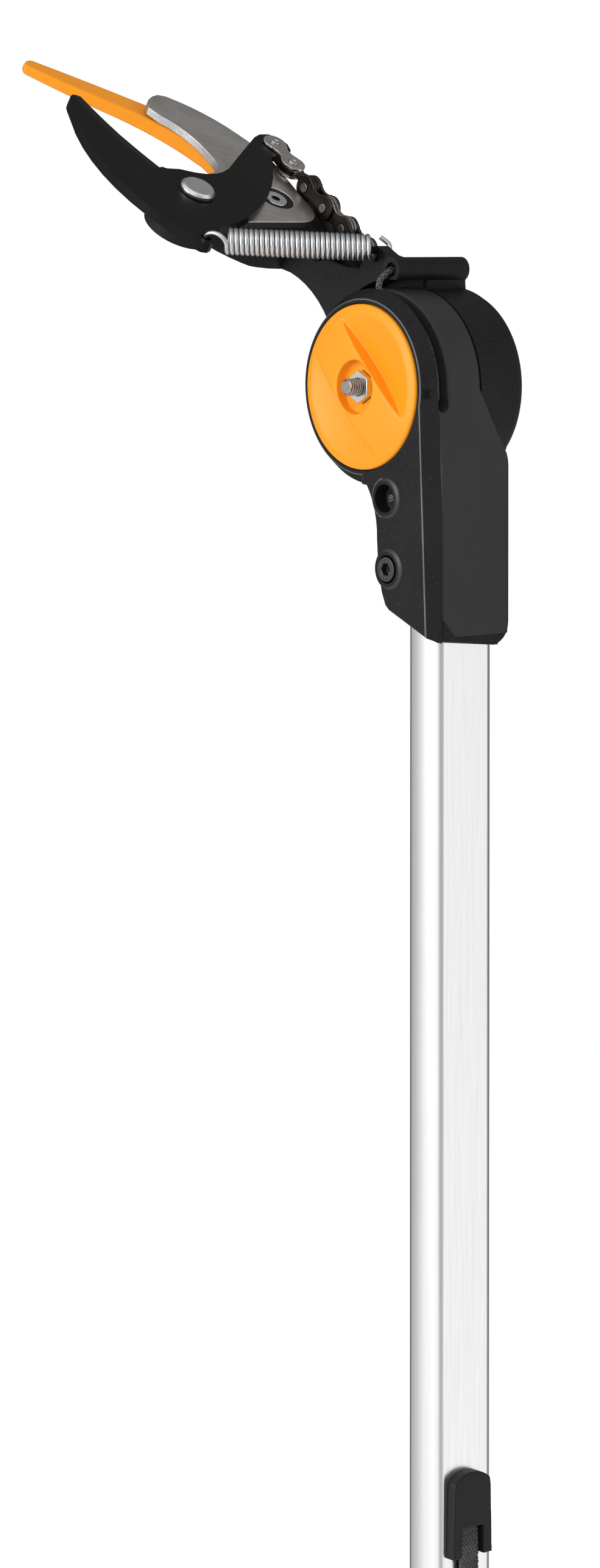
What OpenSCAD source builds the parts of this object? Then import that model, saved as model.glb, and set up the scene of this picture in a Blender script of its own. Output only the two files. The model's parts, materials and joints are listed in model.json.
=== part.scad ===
// Pole tree pruner: a bypass cutting head on a tilting hinge, pulled shut through a flat strap,
// two drums and a twisted roller chain by a handle that slides on the pole.
// Frame: Z runs up the pole, X = Y = 0 is the pole's axis, the dial faces -Y, the arm leans to -X.

/* [Pole] */
// Length of the aluminium pole
pole_l = 1424; // [700:1:1700]
// Width of the pole across its rounded sides
pole_w = 26.8; // [25:0.1:28]
// Thickness of the pole between its flat faces
pole_d = 16.4; // [15.6:0.1:17]
// Radius of the pole's rounded sides
pole_side_r = 26; // [20:0.5:40]
// Wall of the pole
pole_wall = 1.5; // [1.2:0.1:1.8]
// Height of the knob on the butt
cap_h = 46; // [36:1:60]

/* [Hinge] */
// Distance of the hinge axis in front of the pole's axis
hinge_off = 25; // [24.8:0.1:25.4]
// Height of the hinge axis above the pole's end
hinge_rise = 36; // [35:0.5:40]
// Lift of the arm above level
head_angle = 36; // [20:1:50]
// Diameter of the axle bolt
axle_d = 6; // [5:0.5:6]

/* [Casing] */
// Radius of the round hinge casing
case_r = 33.8; // [33:0.1:34.5]
// Radius of the dial ring at its front edge
ring_r = 30.3; // [29.8:0.1:31]
// Front face of the casing, towards the dial side
front_y = 18.5; // [18:0.1:20]
// Joint face between the front and the rear shell
split_y = 13.7; // [13:0.1:14]
// Width of the cord groove
groove_w = 4.95; // [4:0.05:5.2]
// Radius of the groove's floor
groove_r = 28.4; // [28:0.1:29]
// Parting face between the casing and the turning hub
part_y = 6.2; // [6:0.1:6.8]
// Half width of the sleeve that takes the pole
sleeve_y = 19.5; // [18.5:0.1:20.5]
// Back face of the sleeve behind the pole's axis
sleeve_x = 11.3; // [10.8:0.1:12]
// Drop of the sleeve's back below the hinge axis
sleeve_drop = 89; // [86:1:100]
// Diameter of the two round recesses in the sleeve's face
recess_d = 9.8; // [9.4:0.1:10.4]

/* [Dial] */
// Radius of the dial
dial_r = 28.65; // [28:0.05:28.7]
// Rise of the dial in front of its rim
dial_dome = 3.6; // [2:0.1:5]
// Diameter of the recess round the nut
dial_hole_d = 18.5; // [16:0.1:20]
// Nut size across its flats
nut_af = 10; // [9:0.1:10.5]

/* [Drums and chain] */
// Radius of the strap drum's core
strap_drum_r = 22.6; // [22:0.1:22.8]
// Radius of the bore in the casing for the strap drum
drum_bore_r = 26.5; // [26.4:0.1:27]
// Chain pitch
chain_pitch = 12.7; // [12.6:0.05:12.8]
// Height of a chain plate
chain_h = 9.2; // [8.4:0.1:9.4]
// Thickness of a chain plate
chain_t = 1.1; // [0.9:0.05:1.2]
// Diameter of a chain roller
roller_d = 7.7; // [7:0.1:7.8]
// Diameter of a chain pin
chain_pin_d = 3.6; // [3.4:0.05:3.8]
// Plane of the chain, to the far side of the pole's axis
chain_y = 15.4; // [15:0.1:15.6]

/* [Head] */
// Radius of the turning hub
hub_r = 34; // [33:0.1:34.5]
// Far face of the hub
hub_y = 26.3; // [26:0.1:27]
// Thickness of the hub cover
cover_t = 2.5; // [2:0.1:2.6]
// Top of the arm, where the fixed blade lies
arm_n = 10.2; // [9.8:0.1:10.4]
// Width of the arm's near wall past the pole's axis
arm_v = 5; // [4.6:0.1:6]
// Outside diameter of the cord tube
tube_d = 8.6; // [8:0.1:9]
// Bore of the cord tube
tube_bore = 3.6; // [3:0.1:4]

/* [Blades] */
// Distance of the pivot along the arm
pivot_u = 91.5; // [90:0.1:93]
// Distance of the pivot to the dial side
pivot_v = 40; // [39:0.1:41]
// Diameter of the pivot's shank
pivot_d = 8; // [7:0.1:9]
// Diameter of the pivot's head
pivot_head_d = 13; // [12:0.1:15]
// Thickness of the fixed blade
blade_t = 3; // [2.6:0.1:3.2]
// Thickness of the moving jaw
jaw_t = 3.6; // [3.4:0.1:4]
// Gap between the jaw and the blade
jaw_gap = 0.1; // [0.05:0.01:0.2]
// Thickness of the hook finger at its root
hook_t = 6.8; // [5:0.1:7]
// Thickness of the hook finger at its tip
hook_tip_t = 4.9; // [4:0.1:6]

/* [Return spring] */
// Wire of the spring
spring_wire = 1.4; // [1.2:0.05:1.4]
// Outside diameter of the spring
spring_d = 9.6; // [9:0.1:10.5]
// Curls of the spring
spring_turns = 27; // [20:1:27]

/* [Strap and handle] */
// Width of the strap
strap_w = 9; // [8:0.1:9.2]
// Thickness of the strap
strap_t = 1.2; // [1:0.05:1.4]
// Distance of the strap guide's middle below the hinge axis
guide_drop = 385; // [300:1:450]
// Height of the strap guide
guide_h = 29; // [26:0.5:34]
// Width of the strap guide
guide_w = 17.6; // [16:0.2:20]
// Clearance between the strap guide's foot and the sliding handle's top, at rest
handle_gap = 40.5; // [20:0.5:120]
// Length of the sliding handle
handle_l = 120; // [90:1:160]
// Clearance between the handle and the pole
slide_gap = 0.35; // [0.3:0.05:0.6]

/* [Hidden] */
$fn = 64;
e = 0.01;
hinge_z = pole_l + hinge_rise;
seat = 0.1;
run = 0.05;
// Station of the dial recess's floor and of the drum bore's floor
dial_floor = split_y + 1.5;
drum_floor = 9.5;
hub_wall = 3;
hub_near = part_y + 0.15;
cover_step = 1.2;
cover_turns = [51, 171, 291];
foot_r = 13;
cover_y = hub_y - cover_t;
blade_n = arm_n + blade_t;
jaw_n = blade_n + jaw_gap;
jaw_top = jaw_n + jaw_t;
// Inner width of the chain: from the lower to the upper plate of the end link
link_lo = jaw_n + 1.25;
link_hi = jaw_top + 0.15;
link_half = (link_hi - link_lo) / 2;
// Chain's centre line, which is also the pitch radius of the chain drum
chain_n = (link_hi + link_lo) / 2;
lobe_u = pivot_u + 30;
strap_x = -hinge_off + strap_drum_r + strap_t * 1.5 + run;
strap_y = 0;
// Middle of the cord tube in the head's own frame
tube_u = 20.3;
tube_n = 35.1;
tube_v = 8.75;
hole_u = pivot_u - 27.3;
hole_v = pivot_v + 13.3;
post_u = 32.6;
post_v = 3;
post_n = 31.8;
arm_low = -3;
boss_low = 0.4;
// Foot of the pivot rivet, and the room around it under the boss
rivet_foot_r = 7;
rivet_room = 0.6;
// Reach of the relief in the jaw's lobe around the chain's pin
lobe_relief = chain_h / 2 + 1.2;
// Wider mouth of the cord tube
mouth_flare = 0.7;
mouth_deep = 1.6;
hook_bend = 126;
hook_lift = 1.3;
boss_r = 13.5;
screw_u = 93.5;
screw_v = 0.5;
ring_d = 13;
clamp_x = -pole_d / 2 - 2.75;
clamp_dz = -62;
// Head of the clamp screw: how far it stands out of the casing's face, and its depth below it
screw_out = 1.4;
screw_deep = 3.6;
// Soft collar round each recess
collar_w = 2.1;
collar_h = 0.8;
knot_x = -12.2;
knot_dz = -37.8;
knot_deep = 5;
knot_r = 2.3;
knot_at = [knot_x + 1.2, -front_y + knot_deep - knot_r - 0.1, hinge_z + knot_dz];
// Dished segments of the dial, and the turn of the grip band between them
band_half = 9.4;
band_turn = 47;
dish_r = 25.6;
dish_edge = 1.6;
dish_depth = 2.2;
dish_sphere = (dish_r * dish_r + pow(dish_edge + dish_depth, 2)) / (2 * (dish_edge + dish_depth));
// Front and back face of the nut in the dial's recess
nut_face = front_y - 0.4;
nut_back = dial_floor + 0.6;
nut_h = 4.6;
nut_turn = 30;
stud_end = front_y + 7.5;
guide_z = hinge_z - guide_drop;
guide_t = 4;
guide_notch = 10;
cap_floor = 4;
handle_z = guide_z - guide_h / 2 - handle_gap;

// Arc through three points
function centre(a, b, c) = let (
    d = 2 * (a.x * (b.y - c.y) + b.x * (c.y - a.y) + c.x * (a.y - b.y)),
    x = ((a * a) * (b.y - c.y) + (b * b) * (c.y - a.y) + (c * c) * (a.y - b.y)) / d,
    y = ((a * a) * (c.x - b.x) + (b * b) * (a.x - c.x) + (c * c) * (b.x - a.x)) / d) [x, y];
function turn(a) = a > 180 ? a - 360 : a < -180 ? a + 360 : a;
function angle_of(p) = atan2(p.y, p.x);
function arc3(a, b, c, steps = 8) = let (
    m = centre(a, b, c), r = norm(a - m), s = angle_of(a - m),
    first = turn(angle_of(b - m) - s), second = turn(angle_of(c - m) - angle_of(b - m)))
    [for (i = [0:steps]) let (t = s + (first + second) * i / steps) m + r * [cos(t), sin(t)]];

// Frames
module at_hinge() translate([-hinge_off, 0, hinge_z]) children();
// x runs out along the arm, y to the dial side and z above the blades
module head() at_hinge() rotate([0, head_angle, 0]) rotate([0, 0, 180]) children();
module along_y(y0, y1, r) translate([0, y1, 0]) rotate([90, 0, 0]) cylinder(r = r, h = y1 - y0);
module slab(y0, y1) translate([0, y1, 0]) rotate([90, 0, 0]) linear_extrude(y1 - y0) children();
module turned(points) rotate([-90, 0, 0]) rotate_extrude($fn = 96) polygon(points);
// Round bar between two points
module rod(a, b, d) let (v = b - a) translate(a) rotate([0, acos(v.z / norm(v)), atan2(v.y, v.x)])
    cylinder(d = d, h = norm(v));
module hex_along_y(y0, y1, af) translate([0, y1, 0]) rotate([90, 0, 0])
    cylinder(d = af / cos(30), h = y1 - y0, $fn = 6);

// Pole section grown by a margin
module pole_outline(grow = 0) intersection() {
    square([pole_d + 2 * grow, pole_w + 2 * grow], center = true);
    translate([0, pole_side_r - pole_w / 2]) circle(r = pole_side_r + grow, $fn = 128);
    translate([0, pole_w / 2 - pole_side_r]) circle(r = pole_side_r + grow, $fn = 128);
}
module pole_bar(z0, z1, grow = 0) translate([0, 0, z0]) linear_extrude(z1 - z0) pole_outline(grow);

module pole_tube() color("silver") difference() {
    pole_bar(cap_floor + seat, pole_l);
    pole_bar(0, pole_l + 1, -pole_wall);
    translate([0, strap_y - strap_w / 2 - 1, guide_z - 3]) cube([pole_d, strap_w + 2, 40]);
}

module end_cap() color("orange") difference() {
    union() {
        translate([0, 0, 3]) linear_extrude(cap_h - 3) cap_outline(4.5);
        linear_extrude(3) cap_outline(3);
    }
    pole_bar(cap_floor, cap_h + 1, seat);
}
module cap_outline(grow) intersection() {
    square([pole_d + 2 * grow, pole_w + 2 * grow], center = true);
    circle(r = pole_w / 2 + grow, $fn = 96);
}

// Side profile of the casing's sleeve about the hinge axis
front_low = hinge_off - 14.9;
// Underside of the sleeve: where it starts below the hinge, and its slant along and across the casing
foot_start = 76;
foot_tilt = 23.3;
foot_roll = 5.1;
module sleeve_profile() polygon(concat(
    [[0, -case_r + 0.3]],
    arc3([2.6, -case_r], [6.4, -41.5], [7.9, -52], 6),
    [[8.6, -62], [front_low + 0.3, -70], [front_low + 2.2, -74.4], [front_low + 4.05, -foot_start]],
    [[front_low + 4.6, -sleeve_drop - 1], [sleeve_x + hinge_off, -sleeve_drop - 1]],
    [[sleeve_x + hinge_off, -27], [case_r - 0.4, 4], [0, 0]]));
module casing_shape(y0, y1) at_hinge() {
    along_y(y0, min(y1, part_y), case_r);
    slab(y0, y1) sleeve_profile();
}
module sleeve_foot() intersection() {
    translate([-70, 0, hinge_z]) rotate([90, 0, 90]) linear_extrude(140) union() {
        translate([-front_y - 1, foot_r - sleeve_drop]) square([front_y + 1 + sleeve_y, 200]);
        translate([-front_y - 1, -sleeve_drop]) square([front_y + 1 + sleeve_y - foot_r, 60]);
        translate([sleeve_y - foot_r, foot_r - sleeve_drop]) circle(r = foot_r);
    }
    translate([front_low + 4.05 - hinge_off, -front_y, hinge_z - foot_start])
        rotate([-foot_roll, foot_tilt, 0]) translate([-150, -150, 0]) cube(300);
}
module sleeve_edges() translate([0, 0, hinge_z - sleeve_drop - 1]) linear_extrude(sleeve_drop + 60)
    union() {
        translate([-70, -30]) square([70 + sleeve_x - 5, 30 + sleeve_y]);
        translate([-70, -30]) square([70 + sleeve_x, 30 + sleeve_y - 5]);
        translate([sleeve_x - 5, sleeve_y - 5]) circle(r = 5);
    }
module casing_holes() {
    pole_bar(hinge_z - sleeve_drop - 5, hinge_z - hinge_rise, seat);
    translate([strap_x - 3, drum_mid - strap_w / 2 - 1, hinge_z - hinge_rise - e])
        cube([6, strap_w + 2, hinge_rise]);
    at_hinge() along_y(-front_y - 1, hub_y, axle_d / 2 + seat);
    translate([clamp_x, 0, hinge_z + clamp_dz]) {
        along_y(-front_y - 1, sleeve_y + 1, 2.6);
        along_y(-front_y - 2, -front_y + screw_deep, recess_d / 2);
        hex_along_y(sleeve_y - 4, sleeve_y + 1, 8.2);
    }
    translate([knot_x, 0, hinge_z + knot_dz]) {
        along_y(-front_y - 2, -front_y + knot_deep, recess_d / 2);
    }
    rod(cord_end, knot_at, cord_d + 0.6);
}
// Shoulder behind the hub: steps along its slope, each with its own slant
shoulder_cuts = [[0, 45], [9.6, 62], [11.4, 78]];
module casing_rear() color("#303032") difference() {
    intersection() {
        casing_shape(-split_y, sleeve_y);
        sleeve_edges();
        sleeve_foot();
    }
    casing_holes();
    at_hinge() {
        along_y(-drum_floor, part_y + 1, drum_bore_r);
        along_y(part_y, hub_y, hub_r + 0.6);
        for (cut = shoulder_cuts) translate([0, part_y + cut.x, -11 - cut.x]) rotate([-cut.y, 0, 0])
            translate([-50, -20, 0]) cube([120, 80, 60]);
        translate([-50, part_y, -11]) cube([120, 60, 60]);
        rotate([-90, 0, 0]) rotate([0, 0, groove_from])
            rotate_extrude(angle = -groove_end - groove_from, $fn = 128)
                translate([groove_r, -split_y - e]) square([case_r, groove_w + e]);
        rotate([0, -groove_end, 0]) translate([groove_r + 0.3, -split_y + groove_w / 2, 0]) rotate([0, 90, 0])
            cylinder(d = groove_w + 0.4, h = case_r);
    }
}
module casing_front() color("#252527") difference() {
    union() {
        at_hinge() turned([[0, -split_y], [case_r, -split_y], [ring_r, -front_y], [0, -front_y]]);
        intersection() {
            at_hinge() slab(-front_y, -split_y) sleeve_profile();
            face_chamfer();
            sleeve_foot();
        }
        for (spot = [[clamp_x, clamp_dz], [knot_x, knot_dz]])
            translate([spot.x, 0, hinge_z + spot.y])
                turned([[0, -front_y + 1], [recess_d / 2 + collar_w, -front_y + 1],
                    [recess_d / 2 + collar_w, -front_y],
                    [recess_d / 2 + collar_w * 0.5, -front_y - collar_h * 0.8],
                    [recess_d / 2 + 0.3, -front_y - collar_h], [0, -front_y - collar_h]]);
    }
    casing_holes();
    at_hinge() along_y(-front_y - 1, -dial_floor, dial_r + 0.35);
}
// Half space that slants the sleeve's face down to its back
module face_chamfer() translate([6.2, -front_y, hinge_z - 40]) rotate([0, -2.5, 0]) rotate([0, 0, -45])
    translate([-120, -120, -120]) cube([120, 240, 240]);

module clamp_screw() color("#1c1c1e") translate([clamp_x, 0, hinge_z + clamp_dz]) difference() {
    union() {
        along_y(-front_y + screw_deep, sleeve_y - 0.5, 2.5);
        along_y(-front_y - screw_out, -front_y + screw_deep, 4.25);
    }
    hex_along_y(-front_y - screw_out - 1, -front_y - screw_out + 2.6, 4);
}
module clamp_nut() color("#8d8f92") translate([clamp_x, 0, hinge_z + clamp_dz]) difference() {
    hex_along_y(sleeve_y - 4, sleeve_y, 8);
    along_y(sleeve_y - 5, sleeve_y + 1, 2.5);
}

module axle_bolt() color("#b9bcc0") at_hinge() {
    along_y(-stud_end, hub_y + 1, axle_d / 2);
    turned([[0, hub_y + 0.1], [6.6, hub_y + 0.1], [6.6, hub_y + 1.4], [4.2, hub_y + 3.2], [0, hub_y + 3.2]]);
}
module dial_nut() color("#c9ccd0") at_hinge() difference() {
    rotate([0, nut_turn, 0]) hex_along_y(-nut_back - nut_h, -nut_back - seat, nut_af);
    along_y(-30, 0, axle_d / 2 + run);
}
// Dial: a domed disc with two dished segments that leave a grip band between them
module dial_knob() color("orange") at_hinge() difference() {
    turned(concat([[0, -dial_floor - 0.1], [dial_r, -dial_floor - 0.1], [dial_r, -front_y - 0.2]],
        arc3([dial_r - 0.5, -front_y - 0.8], [19, -front_y - dial_dome + 0.8],
            [dial_hole_d / 2, -front_y - dial_dome], 8),
        [[dial_hole_d / 2, -nut_face], [0, -nut_face]]));
    along_y(-40, 0, axle_d / 2 + seat);
    rotate([0, nut_turn, 0]) hex_along_y(-nut_face - 1, -nut_back, nut_af + 2 * run);
    rotate([0, band_turn, 0]) difference() {
        translate([0, -front_y + dish_depth - dish_sphere, 0]) sphere(r = dish_sphere, $fn = 128);
        translate([-60, -200, -band_half]) cube([120, 240, 2 * band_half]);
    }
}

// Black guide that leads the strap out of the pole
module strap_guide() color("#232325") translate([pole_d / 2, 0, guide_z]) difference() {
    rotate([90, 0, 90]) linear_extrude(guide_t) union() {
        translate([-guide_w / 2, -guide_h / 2]) square([guide_w, guide_h - 5]);
        intersection() {
            translate([-guide_w / 2, -guide_h / 2]) square([guide_w, guide_h]);
            translate([0, guide_h / 2 - 13]) circle(r = 13);
        }
    }
    translate([-1, strap_y - strap_w / 2 - 0.4, -guide_h / 2 - 1]) cube([3.4, strap_w + 0.8, guide_h - 1]);
    translate([-1, strap_y - strap_w / 2 - 0.4, -guide_h / 2 - 1]) cube([9, strap_w + 0.8, guide_notch + 1]);
}

// Rotating head: hub, arm, cross bar, pivot boss, cord tube and spring post
bar_from = 72.4;
module head_arm() color("#2a2a2c") head() {
    head_body();
    difference() {
        along_y(-hub_near - e, -part_y + 2.5, drum_bore_r - run);
        along_y(-30, 0, 24.6);
    }
}
module head_body() difference() {
    union() {
        along_y(-cover_y, -hub_near, hub_r);
        slab(-hub_y + 1, arm_v) arm_profile();
        difference() {
            translate([0, 0, arm_low]) linear_extrude(arm_n - arm_low) cross_bar();
            bar_slope();
        }
        pivot_boss();
        translate([tube_u, 0, tube_n]) along_y(-cover_y, tube_v, tube_d / 2);
        slab(-cover_y, -part_y) polygon([[14, 28], [tube_u - 2, tube_n + 3], [tube_u + 4, tube_n], [27, 20]]);
        spring_post();
    }
    at_casing_clearance();
    along_y(-cover_y - 1, -part_y - hub_wall, 26);
    along_y(-part_y - hub_wall - 1, 0, 9.3);
    along_y(-hub_y - 1, -cover_y, hub_r - cover_step + seat);
    // Way of the chain out of the hub, and the pocket behind the near wall
    translate([-2, -cover_y, chain_n - chain_h / 2 - 0.9])
        cube([90, cover_y - part_y - hub_wall, 30 - chain_n]);
    translate([37, -hub_y - 1, chain_n - chain_h / 2 - 0.9]) cube([50, hub_y - part_y - hub_wall + 1, 30]);
    translate([40, -part_y - hub_wall - 1, 6]) cube([22, hub_wall + part_y + arm_v - 1.6, 30]);
    translate([tube_u, 0, tube_n]) along_y(-hub_y + 4, 10, tube_bore / 2);
    translate([tube_u, 0, tube_n]) along_y(tube_v - mouth_deep, 10, tube_bore / 2 + mouth_flare);
    translate([pivot_u, pivot_v, -10]) cylinder(d = pivot_d + 2 * seat, h = 40);
    translate([pivot_u, pivot_v, boss_low - 20]) cylinder(r = rivet_foot_r + rivet_room, h = 20);
    translate([screw_u, screw_v, -10]) cylinder(r = 2.6, h = 40);
    translate([0, 0, arm_n - hook_t - seat]) linear_extrude(20) hook_root(seat);
}
module at_casing_clearance() {
    along_y(-hub_near, 30, case_r + 0.6);
    along_y(-part_y + 1, 30, case_r + 3.4);
}
module arm_profile() polygon(concat([[14, -20], [33, -4]], arc3([40, -2.2], [54, 0.9], [67, -0.6], 6),
    [[73, arm_low], [78, arm_low], [78, arm_n], [58, arm_n], [54.8, 14], [45, 18], [33.5, 24.6], [28, 28.3],
        [tube_u, tube_n], [14, 28]]));
module cross_bar() {
    polygon(concat([[bar_from, -chain_y - 9]], arc3([bar_from, arm_v], [bar_from + 1.5, 17], [80, 30], 5),
        [[pivot_u, pivot_v + 2], [106, pivot_v], [106, -12], [88, -chain_y - 9]]));
}
// Round boss under the pivot, and the slope of the bar's underside up to it
module pivot_boss() translate([pivot_u + 1.5, pivot_v - 1, boss_low])
    cylinder(r = boss_r, h = arm_n - boss_low);
module bar_slope() translate([50, 18, arm_low]) rotate([atan((boss_low - arm_low) / (pivot_v - 22)), 0, 0])
    translate([0, 0, -20]) cube([80, 80, 20]);
module spring_post() {
    slab(post_v - 2.5, post_v + 2.5) difference() {
        polygon([[post_u + 4.6, 20], [post_u + 4.4, post_n + 0.8], [post_u + 1.4, post_n + 3.4],
            [post_u - 5, post_n + 4.1], [tube_u + 2, tube_n + 3], [tube_u, tube_n - 6]]);
        translate([post_u, post_n]) circle(r = 2);
    }
}
module hub_cover() color("#2a2a2c") head() difference() {
    union() {
        along_y(-hub_y, -cover_y - 0.02, hub_r - cover_step);
        along_y(-hub_y, -cover_y + 1.6, 25.9);
    }
    along_y(-hub_y - 1, 0, axle_d / 2 + run);
    along_y(-cover_y + e, 0, 23.5);
    for (a = cover_turns) rotate([0, a, 0]) translate([29.4, 0, 0]) along_y(-hub_y - 1, 0, 1.6);
}
module cover_screws() color("#1c1c1e") head()
    for (a = cover_turns) rotate([0, a, 0]) translate([29.4, 0, 0]) {
        along_y(-hub_y - 1.6, -hub_y, 2.7);
        along_y(-hub_y, -cover_y - 0.1, 1.5);
    }

// Fixed blade with its curved cutting edge, lying on the arm
module blade_outline() difference() {
    polygon(concat(
        arc3([149.6, 23.2], [155.4, 19.4], [158.2, 13.8], 4),
        arc3([157.2, 10.4], [148.2, 0.9], [133.6, -8], 6),
        arc3([127, -10.8], [116, -13], [106, -12.6], 4),
        arc3([88, -11.6], [81.6, -9.4], [78.6, -3], 5),
        [[78.6, 31]],
        arc3([79.5, 47], [pivot_u + 1, pivot_v + 14], [104, 46], 8),
        arc3([108.4, 26], [110.8, 16.6], [117.6, 13.8], 5),
        arc3([123, 13.8], [132.6, 15.2], [140.4, 18.4], 5),
        [[144.4, 21.2]]));
    translate([pivot_u, pivot_v]) circle(d = pivot_d + 2 * seat);
    translate([screw_u, screw_v]) circle(d = ring_d + 2 * seat);
}
module fixed_blade() color("#9c9a96") head() translate([0, 0, arm_n]) linear_extrude(blade_t) blade_outline();
module screw_ring() color("#1a1a1a") head() translate([screw_u, screw_v, arm_n]) difference() {
    cylinder(d = ring_d, h = blade_t - 0.1);
    translate([0, 0, 0.8]) cylinder(r = 4.6, h = blade_t);
    translate([0, 0, -1]) cylinder(r = 2.6, h = 4);
}
module blade_screw() color("#c9ccd0") head() translate([screw_u, screw_v, 0]) difference() {
    union() {
        translate([0, 0, arm_low - 1]) cylinder(r = 2.5, h = arm_n - arm_low + 1.8);
        translate([0, 0, arm_n + 0.8]) cylinder(r = 4.4, h = blade_t - 1);
    }
    translate([0, 0, arm_n + 1.6]) cylinder(d = 3 / cos(30), h = 4, $fn = 6);
}

// Orange hook finger: a root under the blade and a tapering, curved finger
module hook_root(grow = 0) polygon([[86 - grow, -8 - grow], [86 - grow, 9 + grow], [107, 9 + grow],
    [107, -8 - grow]]);
module hook_outline() polygon(concat(
    [[106, -8], [106, 9], [118, 9]],
    arc3([126, 10], [145, 21.3], [160, 35.8], 7),
    arc3([171, 46.6], [177.4, 52.6], [181.6, 56.4], 4),
    arc3([182.8, 56.9], [185.4, 55.4], [186.6, 52.6], 3),
    arc3([186, 51.4], [172.2, 34.6], [157, 17.2], 7),
    arc3([148, 10], [134, 0], [122, -6], 5)));
module hook_finger() color("orange") head() difference() {
    translate([0, 0, arm_n - hook_t]) linear_extrude(hook_t - e) {
        hook_root();
        hook_outline();
    }
    translate([screw_u, screw_v, -10]) cylinder(r = 2.6, h = 40);
    // Top that falls away to the tip
    translate([hook_bend, -40, arm_n]) rotate([0, atan((hook_t - hook_tip_t) / 60), 0]) cube([120, 120, 20]);
    // Underside that rises to the tip
    translate([hook_bend, -40, arm_n - hook_t]) rotate([0, -atan(hook_lift / 60), 0])
        translate([0, 0, -20]) cube([120, 120, 20]);
}
module pivot_rivet() color("#c4c8cc") head() translate([pivot_u, pivot_v, 0]) {
    rotate_extrude($fn = 96) polygon([[0, boss_low - 2.6], [rivet_foot_r, boss_low - 2.6],
        [rivet_foot_r, boss_low - 0.1],
        [pivot_d / 2, boss_low - 0.1], [pivot_d / 2, jaw_top + 0.1], [pivot_head_d / 2, jaw_top + 0.1],
        [pivot_head_d / 2, jaw_top + 1.6], [pivot_head_d / 2 - 1, jaw_top + 2.6], [0, jaw_top + 2.6]]);
}

// Moving jaw: curved nose, throat, chain lobe and spring tail
edge_tip = [148.9, 54.2];
edge_mid = [128, 51.5];
edge_root = [107, 46];
edge_land = jaw_t - 0.8;
grind_w = 4.6;
grind_out = 0.15;
module jaw_outline() polygon(concat(
    [[151.7, 56.2], [151.1, 54.3]],
    arc3(edge_tip, edge_mid, edge_root, 6),
    [[105.8, 44.4], [105.4, 38.6]],
    arc3([103.4, 33], [102.8, 24], [106.3, 15.6], 4),
    [[112.3, 8.3], [126.4, -9.4]],
    arc3([128.2, -13], [123, -22], [115.2, -13.6], 6),
    arc3([113.4, -8.6], [89, 9.2], [73, 33.5], 8),
    arc3([71, 42], [68, 46.4], [63.4, 49.6], 3),
    arc3([61, 52], [60, 55.4], [62.4, 58.2], 3),
    arc3([67, 59.6], [104, 70.6], [139, 64.9], 9),
    arc3([145.5, 62.7], [149.8, 60.2], [151.5, 58], 3)));
// Ground slope along one stretch of the cutting edge, cut from the jaw's upper face
module edge_grind(a, b) translate([a.x, a.y - grind_out, jaw_n + edge_land])
    rotate([0, 0, atan2(b.y - a.y, b.x - a.x)]) rotate([atan((jaw_t - edge_land) / grind_w), 0, 0])
        translate([-0.3, -6, 0]) cube([norm(b - a) + 0.6, 6 + 2 * grind_w, 10]);
module jaw() color("#1d1d1f") head() difference() {
    translate([0, 0, jaw_n]) linear_extrude(jaw_t) jaw_outline();
    translate([pivot_u, pivot_v, 0]) cylinder(d = pivot_d + 2 * run, h = 40);
    translate([hole_u, hole_v, 0]) cylinder(r = 1.9, h = 40);
    translate([lobe_u, -chain_y, 0]) cylinder(d = chain_pin_d + 2 * run, h = 40);
    edge_grind(edge_root, edge_mid);
    edge_grind(edge_mid, edge_tip + [4, 0.4]);
    // Relief under the lobe for the lower plate of the chain
    translate([lobe_u, -chain_y, jaw_n - 1]) cylinder(r = lobe_relief, h = link_lo - jaw_n + 1);
    translate([lobe_u - 20, -chain_y - 10, jaw_n - 1]) cube([20, 10 + lobe_relief, link_lo - jaw_n + 1]);
}

// Chain: pins run inwards along the arm from the jaw's lobe
function pin_u(i) = lobe_u - i * chain_pitch;
module plate_outline(waist = 2.6) difference() {
    union() {
        circle(d = chain_h);
        translate([chain_pitch, 0]) circle(d = chain_h);
        translate([0, -chain_h * 0.42]) square([chain_pitch, chain_h * 0.84]);
    }
    for (s = [-1, 1]) translate([chain_pitch / 2, s * (waist + 5.2)]) circle(r = 5.2);
    circle(d = chain_pin_d + 0.04);
    translate([chain_pitch, 0]) circle(d = chain_pin_d + 0.04);
}
// Lower left pin of a link at pin i; flat lies in the blades' plane, upright in the drums' plane
module flat_link(i) translate([pin_u(i + 1), -chain_y, chain_n]) children();
module upright_link(i) translate([pin_u(i + 1), -chain_y, chain_n]) rotate([90, 0, 0]) children();
module plates(gap, t) for (s = [-1, 1])
    translate([0, 0, s > 0 ? gap : -gap - t]) linear_extrude(t) plate_outline();
module chain_end_link() color("silver") head() flat_link(0) {
    plates(link_half, chain_t);
    for (x = [0, chain_pitch]) translate([x, 0, -link_half - chain_t])
        cylinder(d = chain_pin_d, h = 2 * (link_half + chain_t) + 0.6);
}
inner_t = chain_t * 0.9;
inner_half = link_half - 0.05 - inner_t;
twist_w = 5.2;
twist_from = 4;
module chain_outer_plates() color("#3a322c") head() for (i = [2, 4]) upright_link(i) {
    plates(link_half, chain_t);
    for (x = [0, chain_pitch]) translate([x, 0, -link_half - chain_t - 0.5])
        cylinder(d = chain_pin_d, h = 2 * (link_half + chain_t) + 1);
}
module chain_inner_plates() color("#3a322c") head()
    for (i = [3, 5]) upright_link(i) plates(inner_half, inner_t);
module roller(half) difference() {
    translate([0, 0, -half]) cylinder(d = roller_d, h = 2 * half);
    translate([0, 0, -half - 1]) cylinder(d = chain_pin_d + 0.04, h = 2 * half + 2);
}
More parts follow.
